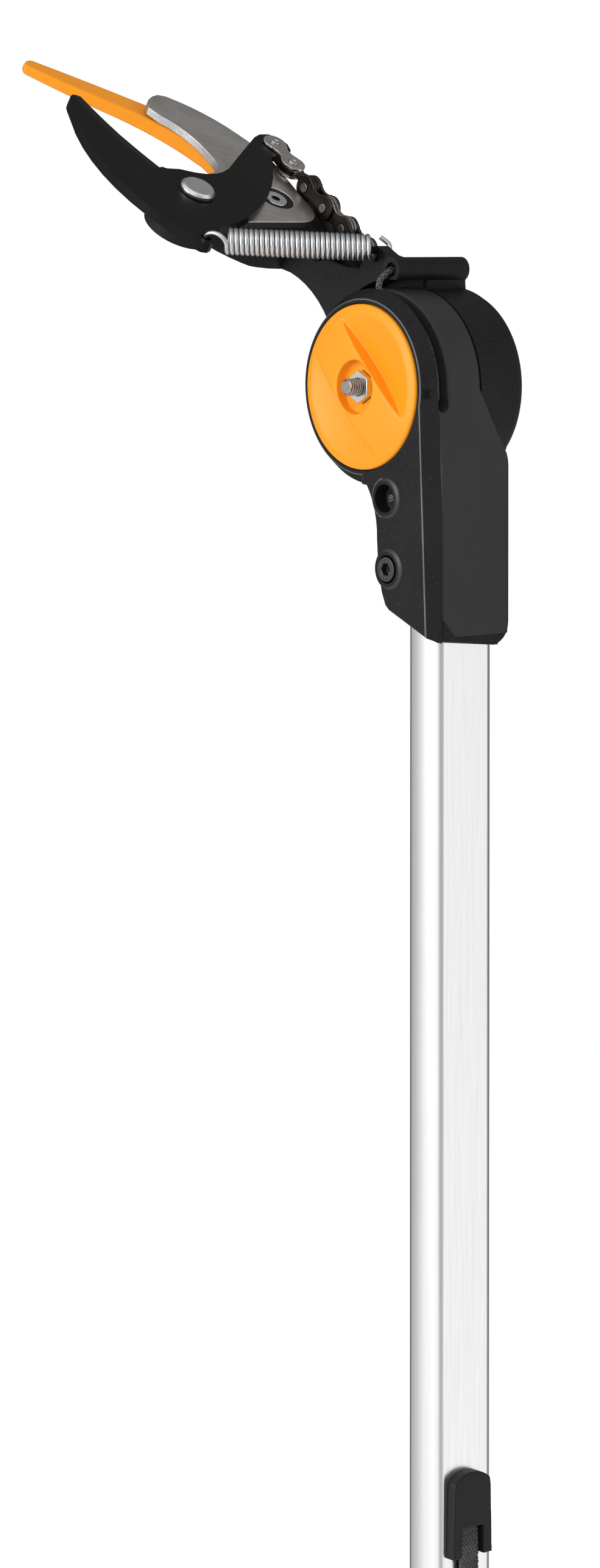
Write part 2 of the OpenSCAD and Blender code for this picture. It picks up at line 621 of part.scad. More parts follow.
module chain_rollers() color("#7b7671") head() {
    flat_link(1) translate([chain_pitch, 0, 0]) roller(inner_half);
    for (i = [1, 3, 5]) upright_link(i) roller(inner_half);
    for (i = [3, 5]) upright_link(i) translate([chain_pitch, 0, 0]) roller(inner_half);
}
// Inner link whose plates turn a quarter between its two ends
module chain_twist_link() color("#6a645e") head() {
    flat_link(1) translate([chain_pitch, 0, 0]) half_plates();
    upright_link(1) mirror([1, 0, 0]) half_plates();
    for (s = [-1, 1]) twist_strip(s);
}
module half_plates() for (s = [-1, 1]) translate([0, 0, s > 0 ? inner_half : -inner_half - inner_t])
    linear_extrude(inner_t) difference() {
        union() {
            circle(d = chain_h);
            translate([-twist_from - 0.6, -twist_w / 2]) square([twist_from + 0.6, twist_w]);
        }
        circle(d = chain_pin_d + 0.04);
    }
module twist_strip(s) flat_link(1) translate([twist_from, 0, 0]) rotate([0, 90, 0])
    linear_extrude(chain_pitch - 2 * twist_from, twist = 90, slices = 8)
        translate([0, s * (inner_half + inner_t / 2)]) square([twist_w, inner_t], center = true);

// Drums on the axle: strap drum in the casing, chain drum in the hub
drum_lo = -drum_floor + 0.5;
drum_hi = part_y - 2.5 - 0.5;
drum_mid = (drum_lo + drum_hi) / 2;
module strap_drum() color("#4a4a4c") at_hinge() difference() {
    union() {
        turned([[0, drum_lo], [drum_bore_r - 0.7, drum_lo], [drum_bore_r - 0.7, drum_lo + 1.1],
            [strap_drum_r, drum_lo + 1.1], [strap_drum_r, drum_hi - 1.1], [drum_bore_r - 0.7, drum_hi - 1.1],
            [drum_bore_r - 0.7, drum_hi], [9, drum_hi], [9, part_y + hub_wall], [0, part_y + hub_wall]]);
        hex_along_y(part_y + hub_wall - 1, cover_y - 1, 13);
    }
    along_y(-30, 40, axle_d / 2 + run);
    for (a = [30:60:330]) rotate([0, a, 0]) translate([15.6, 0, 0]) along_y(drum_lo - 1, drum_hi + 1, 4.4);
}
module strap_winding() color("#1d1d1f") at_hinge() difference() {
    along_y(drum_lo + 1.4, drum_hi - 1.4, strap_drum_r + strap_t);
    along_y(-30, 30, strap_drum_r + 0.02);
}
// Chain drum: a round core with a lug that holds the wound end of the chain
link_turn = 2 * asin(chain_pitch / 2 / chain_n);
link_reach = chain_n * cos(link_turn / 2);
lug_turn = 2.5 * link_turn;
module at_link(a) rotate([0, -a, 0]) translate([0, -chain_y, 0]) rotate([90, 0, 0]) children();
module chain_drum() color("#4a4a4c") head() difference() {
    union() {
        along_y(-cover_y + 0.4, -part_y - hub_wall - 0.4, chain_n - chain_h / 2 - 0.8);
        at_link(lug_turn) translate([0, 0, -inner_half + 0.1]) linear_extrude(2 * inner_half - 0.2) {
            translate([-3, 0]) square([6, chain_n]);
            translate([0, chain_n]) circle(r = 3);
        }
    }
    rotate([0, head_angle, 0]) hex_along_y(-40, 0, 13.04);
    at_link(lug_turn) translate([0, chain_n, -10]) cylinder(d = chain_pin_d + 2 * run, h = 20);
}
module chain_anchor() color("#3a322c") head() {
    at_link(link_turn) translate([-chain_pitch / 2, link_reach, 0]) plates(inner_half, inner_t);
    at_link(2 * link_turn) translate([-chain_pitch / 2, link_reach, 0]) plates(link_half, chain_t);
    for (i = [1.5, 2.5]) at_link(i * link_turn) translate([0, chain_n, -link_half - chain_t])
        cylinder(d = chain_pin_d - 0.02, h = 2 * (link_half + chain_t));
}

// Return spring: one wire wound between a hook in the jaw's tail and a hook in the post
spring_a = [hole_u, hole_v, jaw_n + jaw_t / 2];
spring_b = [post_u, post_v + 3.6, post_n];
// Middle of the first and of the last curl
coil_a = spring_a + [-4, -5.9, 3.1];
coil_b = spring_b + [1.5, 2.3, 2.6];
spring_r = (spring_d - spring_wire) / 2;
spring_body = norm(coil_b - coil_a);
curl_rings = 8;
spring_axis = (coil_b - coil_a) / spring_body;
spring_side = cross([0, 0, 1], spring_axis) / norm(cross([0, 0, 1], spring_axis));
spring_up = cross(spring_axis, spring_side);
function spring_at(s, r, a) = coil_a + spring_axis * s
    + spring_side * (r * cos(a)) + spring_up * (r * sin(a));
function helix(i) = let (t = i / curl_rings)
    spring_at(spring_body * t / spring_turns, spring_r, 180 + 360 * t);
// Hook: an arch up from the hole in the jaw, then over and down into the first curl
hook_from = (spring_a - coil_a) * spring_axis;
hook_top = hook_from / 2;
function hook_arch(a) = spring_at(hook_top + (hook_from - hook_top) * cos(a), spring_r * sin(a), 90);
function hook_over(t) = spring_at(hook_top * (1 - t), spring_r, 90 + 90 * t);
spring_path = concat(
    [spring_a - spring_up * spring_wire],
    [for (a = [0:22.5:67.5]) hook_arch(a)],
    [for (t = [0:0.25:0.75]) hook_over(t)],
    [for (i = [0:spring_turns * curl_rings]) helix(i)],
    [spring_at(spring_body + 0.6, spring_r, 205), spring_at(spring_body + 1.4, spring_r, 232)],
    [for (step = [[0, 0, 0], [0.3, -3.5, 0.3], [0.6, -7, 0.6], [3.2, -8.2, 2.6], [6.6, -6.2, 3.4]])
        spring_b + step]);
// Sweep of a round wire along a path, its rings carried along without twist
function unit(v) = v / norm(v);
function tangent(p, i) = unit(p[min(i + 1, len(p) - 1)] - p[max(i - 1, 0)]);
function carried(p, i, last) = let (t = tangent(p, i)) unit(last - t * (last * t));
function frames(p) = [for (i = 0, f = carried(p, 0, [0.3, 0.2, 1]); i < len(p);
    i = i + 1, f = carried(p, min(i, len(p) - 1), f)) f];
module wire(p, d, sides = 6) {
    f = frames(p);
    n = len(p);
    points = [for (i = [0:n - 1]) let (t = tangent(p, i), b = cross(t, f[i]))
        for (k = [0:sides - 1]) p[i] + d / 2 * (f[i] * cos(360 * k / sides) + b * sin(360 * k / sides))];
    sides_of = [for (i = [0:n - 2], k = [0:sides - 1])
        let (a = i * sides + k, b = i * sides + (k + 1) % sides)
            each [[a, b, b + sides], [a, b + sides, a + sides]]];
    ends = concat([for (k = [1:sides - 2]) [0, k + 1, k]],
        [for (k = [1:sides - 2]) [(n - 1) * sides, (n - 1) * sides + k, (n - 1) * sides + k + 1]]);
    polyhedron(points, [for (t = concat(sides_of, ends)) [t[0], t[2], t[1]]]);
}
module return_spring() color("#b8bbbe") head() wire(spring_path, spring_wire);
// Least distance between wire centres one curl apart, less the wire
echo(spring_gap = min([for (i = [0:(spring_turns - 1) * curl_rings])
    norm(helix(i + curl_rings) - helix(i))]) - spring_wire);

// Strap: down from the drum inside the pole, out through the guide and down to the handle
strap_top = hinge_z;
strap_out = pole_d / 2 + 1.3;
strap_pin_x = pole_d / 2 + 3;
strap_pin_z = handle_z - 7;
strap_bend = 60;
// The part inside the pole leans over to the middle of the strap drum
bend_z = guide_z + strap_bend;
strap_lean = atan((strap_y - drum_mid) / (strap_top - bend_z));
module strap() color("#1d1d1f") {
    slab(strap_y - strap_w / 2, strap_y + strap_w / 2) difference() {
        union() {
            polygon([
                [strap_x - strap_t / 2, bend_z], [strap_x + strap_t / 2, bend_z],
                [strap_out + strap_t / 2, guide_z - 4], [strap_out + strap_t / 2, strap_pin_z],
                [strap_out - strap_t / 2, strap_pin_z], [strap_out - strap_t / 2, guide_z - 4]]);
            translate([strap_pin_x, strap_pin_z]) circle(r = 2.5);
        }
        translate([strap_pin_x, strap_pin_z]) circle(r = 1.5 + run);
    }
    translate([strap_x, strap_y, bend_z]) rotate([strap_lean, 0, 0])
        translate([-strap_t / 2, -strap_w / 2, -0.1]) cube([strap_t, strap_w, strap_top - bend_z]);
}

// Handle that slides on the pole and pulls the strap
module handle_section(grow) intersection() {
    square([pole_d + 2 * grow, pole_w + 2 * grow], center = true);
    circle(r = pole_w / 2 + grow - 1, $fn = 96);
}
module slide_handle() color("#232325") difference() {
    union() {
        translate([0, 0, handle_z - handle_l]) linear_extrude(handle_l) handle_section(5.4);
        translate([0, 0, handle_z - 12]) linear_extrude(12) handle_section(8);
        translate([0, 0, handle_z - handle_l]) linear_extrude(10) handle_section(8);
    }
    pole_bar(handle_z - handle_l - 1, handle_z + 1, slide_gap);
    translate([0, strap_y - strap_w / 2 - 0.5, handle_z - 11]) cube([pole_d / 2 + 6, strap_w + 1, 20]);
    translate([strap_pin_x, 0, strap_pin_z]) along_y(-13, 8, 1.5 + run);
}
module slide_grip() color("orange") difference() {
    translate([0, 0, handle_z - handle_l + 12]) linear_extrude(handle_l - 26) handle_section(7.6);
    translate([0, 0, handle_z - handle_l]) linear_extrude(handle_l) handle_section(5.4 + 0.02);
}
module strap_pin() color("#b9bcc0") translate([strap_pin_x, 0, strap_pin_z]) along_y(-12.5, 7.5, 1.5);

// Compensation cord: from the tube's mouth down into the groove, round the hinge and to its knot
cord_d = 2.4;
groove_end = -8.5;
cord_r = groove_r + 1.8;
cord_y = -split_y + groove_w / 2;
groove_from = -190;
function polar(r, a, y) = [-hinge_off + r * cos(a), y, hinge_z + r * sin(a)];
tube_polar = [norm([tube_u, tube_n]), 180 - head_angle - atan2(tube_n, tube_u)];
cord_end = polar(cord_r, groove_end, cord_y);
cord_path = concat(
    [for (y = [20, 8, -7]) polar(tube_polar.x, tube_polar.y, y)],
    [polar(tube_polar.x - 1, tube_polar.y + 1, -9.4), polar(36.6, 88, cord_y), polar(32.6, 88, cord_y)],
    [for (a = [80:-8:groove_end + 8]) polar(cord_r, a, cord_y)],
    [cord_end, (cord_end * 3 + knot_at) / 4, knot_at]);
module cord() color("#151515") wire(cord_path, cord_d, 8);
module cord_knot() color("#151515") translate(knot_at) sphere(r = knot_r);

pole_tube();
end_cap();
casing_rear();
casing_front();
clamp_screw();
clamp_nut();
axle_bolt();
strap_guide();
cord_knot();
cord();
dial_knob();
dial_nut();
head_arm();
hub_cover();
cover_screws();
fixed_blade();
hook_finger();
pivot_rivet();
blade_screw();
screw_ring();
jaw();
chain_end_link();
chain_twist_link();
chain_outer_plates();
chain_inner_plates();
chain_rollers();
strap_drum();
chain_drum();
strap_winding();
chain_anchor();
return_spring();
strap();
slide_handle();
slide_grip();
strap_pin();
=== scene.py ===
"""Pole tree pruner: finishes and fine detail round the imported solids, in metres, in the part's frame."""

import json
import math

import bmesh
import bpy
from mathutils import Matrix, Vector

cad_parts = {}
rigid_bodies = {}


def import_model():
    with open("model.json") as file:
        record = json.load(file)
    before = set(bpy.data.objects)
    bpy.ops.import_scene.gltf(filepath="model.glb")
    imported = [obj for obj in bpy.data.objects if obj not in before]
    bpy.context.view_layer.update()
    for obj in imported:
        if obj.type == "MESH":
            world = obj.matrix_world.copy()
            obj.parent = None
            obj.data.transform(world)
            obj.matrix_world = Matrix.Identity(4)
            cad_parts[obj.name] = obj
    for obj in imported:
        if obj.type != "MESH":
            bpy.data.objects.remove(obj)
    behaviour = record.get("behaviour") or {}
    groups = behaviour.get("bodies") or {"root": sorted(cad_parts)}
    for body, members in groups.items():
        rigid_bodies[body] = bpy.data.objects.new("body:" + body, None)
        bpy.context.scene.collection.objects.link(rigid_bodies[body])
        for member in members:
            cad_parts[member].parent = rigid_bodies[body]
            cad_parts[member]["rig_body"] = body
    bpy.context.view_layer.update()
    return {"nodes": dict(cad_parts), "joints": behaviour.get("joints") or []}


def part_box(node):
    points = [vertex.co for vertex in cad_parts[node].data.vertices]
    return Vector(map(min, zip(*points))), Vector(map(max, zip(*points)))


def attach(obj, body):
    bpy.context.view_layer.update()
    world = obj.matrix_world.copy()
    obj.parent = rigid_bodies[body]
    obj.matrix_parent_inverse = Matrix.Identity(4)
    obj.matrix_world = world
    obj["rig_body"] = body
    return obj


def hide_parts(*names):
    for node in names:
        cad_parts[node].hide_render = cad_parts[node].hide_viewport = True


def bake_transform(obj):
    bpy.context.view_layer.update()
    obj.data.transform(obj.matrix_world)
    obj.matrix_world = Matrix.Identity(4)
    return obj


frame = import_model()
scene = bpy.context.scene
scene.view_settings.view_transform = "Standard"

MM = 0.001
joints = {joint["name"]: joint for joint in frame["joints"]}
hinge = Vector(joints["head_tilt"]["pos_m"])
HEAD_LIFT = math.radians(36)
# Head frame in millimetres: x out along the arm, y to the dial side, z above the blades
head = (
    Matrix.Translation(hinge)
    @ Matrix.Rotation(HEAD_LIFT, 4, "Y")
    @ Matrix.Rotation(math.pi, 4, "Z")
    @ Matrix.Scale(MM, 4)
)
head_back = head.inverted()

# Camera at the photograph's place: nearly level, with the frame dropped to show the pole
CAMERA_BACK = Vector((0.7678, -0.6406, 0.0))
CAMERA_RIGHT = Vector((0.6406, 0.7678, 0.0))
CAMERA_DISTANCE = 1.430
CAMERA_SIDE = -0.0514
CAMERA_RISE = 0.0531
CAMERA_DIP = math.radians(1.111)
camera_data = bpy.data.cameras.new("camera")
camera_data.sensor_fit = "VERTICAL"
camera_data.sensor_height = 36
camera_data.sensor_width = 36
camera_data.lens = 95.93
camera_data.shift_y = -0.30
camera_data.clip_start = 0.05
camera = bpy.data.objects.new("camera", camera_data)
scene.collection.objects.link(camera)
camera.location = (
    CAMERA_BACK * CAMERA_DISTANCE
    + CAMERA_RIGHT * CAMERA_SIDE
    + Vector((0, 0, hinge.z + CAMERA_RISE))
)
look = -CAMERA_BACK * math.cos(CAMERA_DIP) - Vector((0, 0, math.sin(CAMERA_DIP)))
camera.rotation_euler = look.to_track_quat("-Z", "Y").to_euler()
scene.camera = camera


# Shader helpers
def add(tree, kind, inputs=None, **settings):
    """A node with its settings, and its inputs set to values or linked to sockets."""
    node = tree.nodes.new(kind)
    for key, value in settings.items():
        setattr(node, key, value)
    for key, value in (inputs or {}).items():
        if isinstance(value, bpy.types.NodeSocket):
            tree.links.new(value, node.inputs[key])
        else:
            node.inputs[key].default_value = value
    return node


def maths(tree, operation, a, b):
    return add(tree, "ShaderNodeMath", {0: a, 1: b}, operation=operation).outputs[0]


def mixed(tree, share, a, b, how="MIX"):
    node = add(tree, "ShaderNodeMix", data_type="RGBA", blend_type=how)
    for key, value in ((0, share), (6, a), (7, b)):
        if isinstance(value, bpy.types.NodeSocket):
            tree.links.new(value, node.inputs[key])
        else:
            node.inputs[key].default_value = value
    return node.outputs[2]


def spread(tree, value, low, high, out_low=0.0, out_high=1.0):
    """The value's range from low to high, stretched to a new range."""
    node = add(
        tree,
        "ShaderNodeMapRange",
        {"Value": value, "From Min": low, "From Max": high, "To Min": out_low, "To Max": out_high},
    )
    return node.outputs["Result"]


def noise(tree, vector, scale, detail=2.0, rough=0.5):
    node = add(
        tree,
        "ShaderNodeTexNoise",
        {"Vector": vector, "Scale": scale, "Detail": detail, "Roughness": rough},
    )
    return node.outputs["Fac"]


def new_group(name, inputs, outputs):
    tree = bpy.data.node_groups.new(name, "ShaderNodeTree")
    for label, kind, value in inputs:
        tree.interface.new_socket(label, in_out="INPUT", socket_type=kind).default_value = value
    for label, kind in outputs:
        tree.interface.new_socket(label, in_out="OUTPUT", socket_type=kind)
    start = tree.nodes.new("NodeGroupInput").outputs
    end = tree.nodes.new("NodeGroupOutput").inputs
    return tree, start, end


FLOAT = "NodeSocketFloat"
COLOR = "NodeSocketColor"
VECTOR = "NodeSocketVector"
SURFACE = [("Color", COLOR), ("Roughness", FLOAT), ("Height", FLOAT)]


def moulded_group():
    """Moulded plastic: fine grain, slow shade changes and pale fibre flecks."""
    tree, start, end = new_group(
        "moulded",
        [
            ("Color", COLOR, (0.05, 0.05, 0.05, 1)),
            ("Fleck", COLOR, (0.3, 0.3, 0.3, 1)),
            ("Flecks", FLOAT, 0.5),
            ("Grain", FLOAT, 1800.0),
            ("Roughness", FLOAT, 0.5),
            ("Uneven", FLOAT, 0.2),
            ("Shade", FLOAT, 0.15),
        ],
        SURFACE,
    )
    place = add(tree, "ShaderNodeTexCoord").outputs["Object"]
    fine = noise(tree, place, start["Grain"], 3.0)
    broad = noise(tree, place, 38.0, 3.0)
    speck = noise(tree, place, maths(tree, "MULTIPLY", start["Grain"], 0.8), 1.0)
    flecks = maths(tree, "MULTIPLY", spread(tree, speck, 0.66, 0.76), start["Flecks"])
    darkest = maths(tree, "SUBTRACT", 1.0, start["Shade"])
    lightest = maths(tree, "ADD", 1.0, start["Shade"])
    shade = spread(tree, broad, 0.3, 0.7, darkest, lightest)
    grey = add(tree, "ShaderNodeCombineColor", {0: shade, 1: shade, 2: shade}).outputs[0]
    base = mixed(tree, 1.0, start["Color"], grey, "MULTIPLY")
    tree.links.new(mixed(tree, flecks, base, start["Fleck"]), end["Color"])
    change = maths(tree, "MULTIPLY", maths(tree, "SUBTRACT", fine, 0.5), start["Uneven"])
    slow = maths(tree, "MULTIPLY", maths(tree, "SUBTRACT", broad, 0.5), start["Uneven"])
    total = maths(tree, "ADD", maths(tree, "ADD", start["Roughness"], change), slow)
    tree.links.new(total, end["Roughness"])
    tree.links.new(fine, end["Height"])
    return tree


def drawn_group():
    """Metal with lines left by drawing or grinding, and faint cloudy stains."""
    tree, start, end = new_group(
        "drawn",
        [
            ("Color", COLOR, (0.7, 0.7, 0.7, 1)),
            ("Line", COLOR, (0.5, 0.5, 0.5, 1)),
            ("Stain", COLOR, (0.45, 0.42, 0.38, 1)),
            ("Lines", VECTOR, (3000.0, 3000.0, 20.0)),
            ("Turn", VECTOR, (0.0, 0.0, 0.0)),
            ("Stains", FLOAT, 0.2),
            ("Roughness", FLOAT, 0.3),
            ("Uneven", FLOAT, 0.2),
        ],
        SURFACE,
    )
    place = add(tree, "ShaderNodeTexCoord").outputs["Object"]
    turned = add(tree, "ShaderNodeMapping", {"Vector": place, "Rotation": start["Turn"]}).outputs[0]
    along = add(
        tree, "ShaderNodeVectorMath", {0: turned, 1: start["Lines"]}, operation="MULTIPLY"
    ).outputs[0]
    lines = noise(tree, along, 1.0, 4.0, 0.65)
    cloud = noise(tree, place, 70.0, 4.0)
    base = mixed(tree, spread(tree, lines, 0.35, 0.7), start["Color"], start["Line"])
    stains = maths(tree, "MULTIPLY", spread(tree, cloud, 0.45, 0.75), start["Stains"])
    tree.links.new(mixed(tree, stains, base, start["Stain"]), end["Color"])
    change = maths(tree, "MULTIPLY", maths(tree, "SUBTRACT", lines, 0.5), start["Uneven"])
    tree.links.new(maths(tree, "ADD", start["Roughness"], change), end["Roughness"])
    tree.links.new(lines, end["Height"])
    return tree


def worn_group():
    """Plated, coated or oiled metal: handling marks, small pits and dull patches."""
    tree, start, end = new_group(
        "worn",
        [
            ("Color", COLOR, (0.6, 0.6, 0.6, 1)),
            ("Dull", COLOR, (0.4, 0.4, 0.4, 1)),
            ("Patches", FLOAT, 90.0),
            ("Pits", FLOAT, 2500.0),
            ("Amount", FLOAT, 0.4),
            ("Roughness", FLOAT, 0.3),
            ("Uneven", FLOAT, 0.2),
        ],
        SURFACE,
    )
    place = add(tree, "ShaderNodeTexCoord").outputs["Object"]
    patch = noise(tree, place, start["Patches"], 5.0, 0.6)
    pits = noise(tree, place, start["Pits"], 2.0)
    share = maths(tree, "MULTIPLY", spread(tree, patch, 0.4, 0.7), start["Amount"])
    tree.links.new(mixed(tree, share, start["Color"], start["Dull"]), end["Color"])
    change = maths(tree, "MULTIPLY", maths(tree, "SUBTRACT", patch, 0.4), start["Uneven"])
    tree.links.new(maths(tree, "ADD", start["Roughness"], change), end["Roughness"])
    tree.links.new(pits, end["Height"])
    return tree


MOULDED = moulded_group()
DRAWN = drawn_group()
WORN = worn_group()


def finish_of(name, group, values, metal=0.0, bump=0.2, depth=0.05, coat=0.0, specular=0.5):
    """A material from one surface group; depth is the bump's height in millimetres."""
    material = bpy.data.materials.new(name)
    material.use_nodes = True
    tree = material.node_tree
    shader = tree.nodes["Principled BSDF"]
    surface = add(tree, "ShaderNodeGroup", node_tree=group)
    for key, value in values.items():
        surface.inputs[key].default_value = value
    relief = add(
        tree,
        "ShaderNodeBump",
        {"Height": surface.outputs["Height"], "Strength": bump, "Distance": depth * MM},
    )
    tree.links.new(surface.outputs["Color"], shader.inputs["Base Color"])
    tree.links.new(surface.outputs["Roughness"], shader.inputs["Roughness"])
    tree.links.new(relief.outputs["Normal"], shader.inputs["Normal"])
    shader.inputs["Metallic"].default_value = metal
    shader.inputs["Coat Weight"].default_value = coat
    shader.inputs["Coat Roughness"].default_value = 0.25
    shader.inputs["Specular IOR Level"].default_value = specular
    return material


def rgb(r, g, b):
    return (r, g, b, 1.0)


def grey(level, warm=0.0):
    """A grey, warmed a little towards brown."""
    return rgb(level * (1 + warm), level, level * (1 - warm))


speckled_black = finish_of(
    "speckled_black",
    MOULDED,
    {
        "Color": rgb(0.0078, 0.0078, 0.0090),
        "Fleck": rgb(0.09, 0.09, 0.10),
        "Flecks": 0.4,
        "Grain": 2600.0,
        "Roughness": 0.50,
        "Uneven": 0.3,
        "Shade": 0.3,
    },
    bump=0.4,
    depth=0.10,
    specular=0.18,
)
# Lighter grey for the rounded rim of the casing's face: a painted highlight along that edge
edge_highlight_black = finish_of(
    "edge_highlight_black",
    MOULDED,
    {
        "Color": grey(0.10),
        "Fleck": grey(0.26),
        "Flecks": 0.6,
        "Grain": 2600.0,
        "Roughness": 0.44,
        "Uneven": 0.3,
        "Shade": 0.45,
    },
    bump=0.3,
    depth=0.06,
    specular=0.4,
)
rim_black = finish_of(
    "rim_black",
    MOULDED,
    {
        "Color": grey(0.013),
        "Fleck": grey(0.12),
        "Flecks": 0.6,
        "Grain": 2600.0,
        "Roughness": 0.36,
        "Uneven": 0.3,
        "Shade": 0.3,
    },
    bump=0.3,
    depth=0.06,
    specular=0.5,
)
panel_black = finish_of(
    "panel_black",
    MOULDED,
    {
        "Color": rgb(0.028, 0.028, 0.028),
        "Fleck": grey(0.06),
        "Flecks": 0.35,
        "Grain": 2600.0,
        "Roughness": 0.52,
        "Uneven": 0.2,
        "Shade": 0.12,
    },
    bump=0.22,
    depth=0.05,
    specular=0.24,
)
satin_black = finish_of(
    "satin_black",
    MOULDED,
    {
        "Color": grey(0.0095),
        "Fleck": grey(0.045),
        "Flecks": 0.3,
        "Grain": 2400.0,
        "Roughness": 0.46,
        "Uneven": 0.18,
        "Shade": 0.15,
    },
    bump=0.2,
    depth=0.05,
    specular=0.24,
)
drum_black = finish_of(
    "drum_black",
    MOULDED,
    {"Color": grey(0.03), "Fleck": grey(0.1), "Flecks": 0.2, "Roughness": 0.5},
    specular=0.3,
)
dial_orange = finish_of(
    "dial_orange",
    MOULDED,
    {
        "Color": rgb(0.98, 0.355, 0.008),
        "Fleck": rgb(1.0, 0.45, 0.03),
        "Flecks": 0.15,
        "Grain": 1900.0,
        "Roughness": 0.42,
        "Uneven": 0.12,
        "Shade": 0.025,
    },
    bump=0.14,
    depth=0.05,
    coat=0.06,
    specular=0.35,
)
finger_orange = finish_of(
    "finger_orange",
    MOULDED,
    {
        "Color": rgb(0.95, 0.325, 0.010),
        "Fleck": rgb(1.0, 0.42, 0.04),
        "Flecks": 0.08,
        "Grain": 1700.0,
        "Roughness": 0.46,
        "Uneven": 0.14,
        "Shade": 0.035,
    },
    bump=0.08,
    depth=0.05,
    specular=0.3,
)
pole_metal = finish_of(
    "pole_metal",
    DRAWN,
    {
        "Color": rgb(0.97, 0.97, 0.965),
        "Line": rgb(0.88, 0.885, 0.885),
        "Stain": rgb(0.90, 0.90, 0.90),
        "Lines": (2600.0, 2600.0, 26.0),
        "Stains": 0.2,
        "Roughness": 0.25,
        "Uneven": 0.2,
    },
    metal=1.0,
    bump=0.2,
    depth=0.02,
)
blade_steel = finish_of(
    "blade_steel",
    DRAWN,
    {
        "Color": rgb(0.70, 0.69, 0.675),
        "Line": rgb(0.58, 0.567, 0.55),
        "Stain": rgb(0.45, 0.40, 0.33),
        "Lines": (700.0, 90.0, 700.0),
        "Turn": (0.0, 0.0, 0.4),
        "Stains": 0.75,
        "Roughness": 0.34,
        "Uneven": 0.25,
    },
    metal=1.0,
    bump=0.15,
    depth=0.02,
)
ground_edge = finish_of(
    "ground_edge",
    DRAWN,
    {
        "Color": rgb(0.52, 0.51, 0.50),
        "Line": rgb(0.36, 0.35, 0.34),
        "Stain": rgb(0.34, 0.31, 0.28),
        "Lines": (500.0, 2400.0, 500.0),
        "Turn": (0.0, 0.0, 0.4),
        "Stains": 0.35,
        "Roughness": 0.40,
        "Uneven": 0.2,
    },
    metal=0.75,
    bump=0.25,
    depth=0.03,
)
jaw_coat = finish_of(
    "jaw_coat",
    WORN,
    {
        "Color": grey(0.0045, 0.06),
        "Dull": grey(0.0070, 0.08),
        "Patches": 45.0,
        "Pits": 1300.0,
        "Amount": 0.7,
        "Roughness": 0.27,
        "Uneven": 0.14,
    },
    bump=0.08,
    depth=0.03,
    specular=0.11,
)
jaw_edge = finish_of(
    "jaw_edge",
    WORN,
    {
        "Color": grey(0.030, 0.05),
        "Dull": grey(0.012, 0.08),
        "Patches": 190.0,
        "Amount": 0.8,
        "Roughness": 0.34,
        "Uneven": 0.2,
    },
    bump=0.12,
    specular=0.3,
)
jaw_grind = finish_of(
    "jaw_grind",
    WORN,
    {
        "Color": grey(0.0085, 0.10),
        "Dull": grey(0.012, 0.14),
        "Patches": 80.0,
        "Amount": 0.7,
        "Roughness": 0.36,
        "Uneven": 0.1,
    },
    bump=0.04,
    depth=0.02,
    specular=0.14,
)
zinc = finish_of(
    "zinc",
    WORN,
    {
        "Color": rgb(0.74, 0.755, 0.76),
        "Dull": rgb(0.56, 0.57, 0.57),
        "Patches": 220.0,
        "Pits": 3000.0,
        "Amount": 0.5,
        "Roughness": 0.24,
        "Uneven": 0.2,
    },
    metal=1.0,
    bump=0.12,
    depth=0.02,
)
spring_zinc = finish_of(
    "spring_zinc",
    WORN,
    {
        "Color": rgb(0.62, 0.63, 0.64),
        "Dull": rgb(0.46, 0.47, 0.48),
        "Patches": 400.0,
        "Pits": 3500.0,
        "Amount": 0.4,
        "Roughness": 0.30,
        "Uneven": 0.2,
    },
    metal=1.0,
    bump=0.1,
    depth=0.015,
)
nickel = finish_of(
    "nickel",
    WORN,
    {
        "Color": grey(0.55, 0.05),
        "Dull": grey(0.40, 0.08),
        "Patches": 150.0,
        "Pits": 2600.0,
        "Amount": 0.6,
        "Roughness": 0.26,
        "Uneven": 0.22,
    },
    metal=1.0,
    bump=0.03,
    depth=0.02,
)
thread_steel = finish_of(
    "thread_steel",
    WORN,
    {
        "Color": grey(0.40, 0.05),
        "Dull": grey(0.22, 0.10),
        "Patches": 500.0,
        "Amount": 0.6,
        "Roughness": 0.30,
        "Uneven": 0.2,
    },
    metal=1.0,
    bump=0.06,
    depth=0.02,
)
oiled_steel = finish_of(
    "oiled_steel",
    WORN,
    {
        "Color": rgb(0.052, 0.042, 0.035),
        "Dull": rgb(0.074, 0.060, 0.049),
        "Patches": 140.0,
        "Pits": 1800.0,
        "Amount": 0.5,
        "Roughness": 0.34,
        "Uneven": 0.16,
    },
    metal=0.9,
    bump=0.08,
    depth=0.02,
    specular=0.3,
)
# Lighter steel: the real metal of the pins, and a painted highlight on the inner plates' edges
pin_and_highlight_steel = finish_of(
    "pin_and_highlight_steel",
    WORN,
    {
        "Color": grey(0.26, 0.05),
        "Dull": grey(0.12, 0.12),
        "Patches": 420.0,
        "Amount": 0.6,
        "Roughness": 0.30,
        "Uneven": 0.25,
    },
    metal=1.0,
    bump=0.1,
    depth=0.02,
)
roller_steel = finish_of(
    "roller_steel",
    WORN,
    {
        "Color": grey(0.62, 0.03),
        "Dull": grey(0.26, 0.10),
        "Patches": 300.0,
        "Amount": 0.6,
        "Roughness": 0.22,
        "Uneven": 0.3,
    },
    metal=1.0,
    bump=0.12,
    depth=0.03,
)
black_steel = finish_of(
    "black_steel",
    WORN,
    {
        "Color": grey(0.085, 0.04),
        "Dull": grey(0.045, 0.06),
        "Patches": 300.0,
        "Amount": 0.6,
        "Roughness": 0.34,
        "Uneven": 0.2,
    },
    metal=0.9,
    bump=0.12,
    depth=0.03,
    specular=0.3,
)
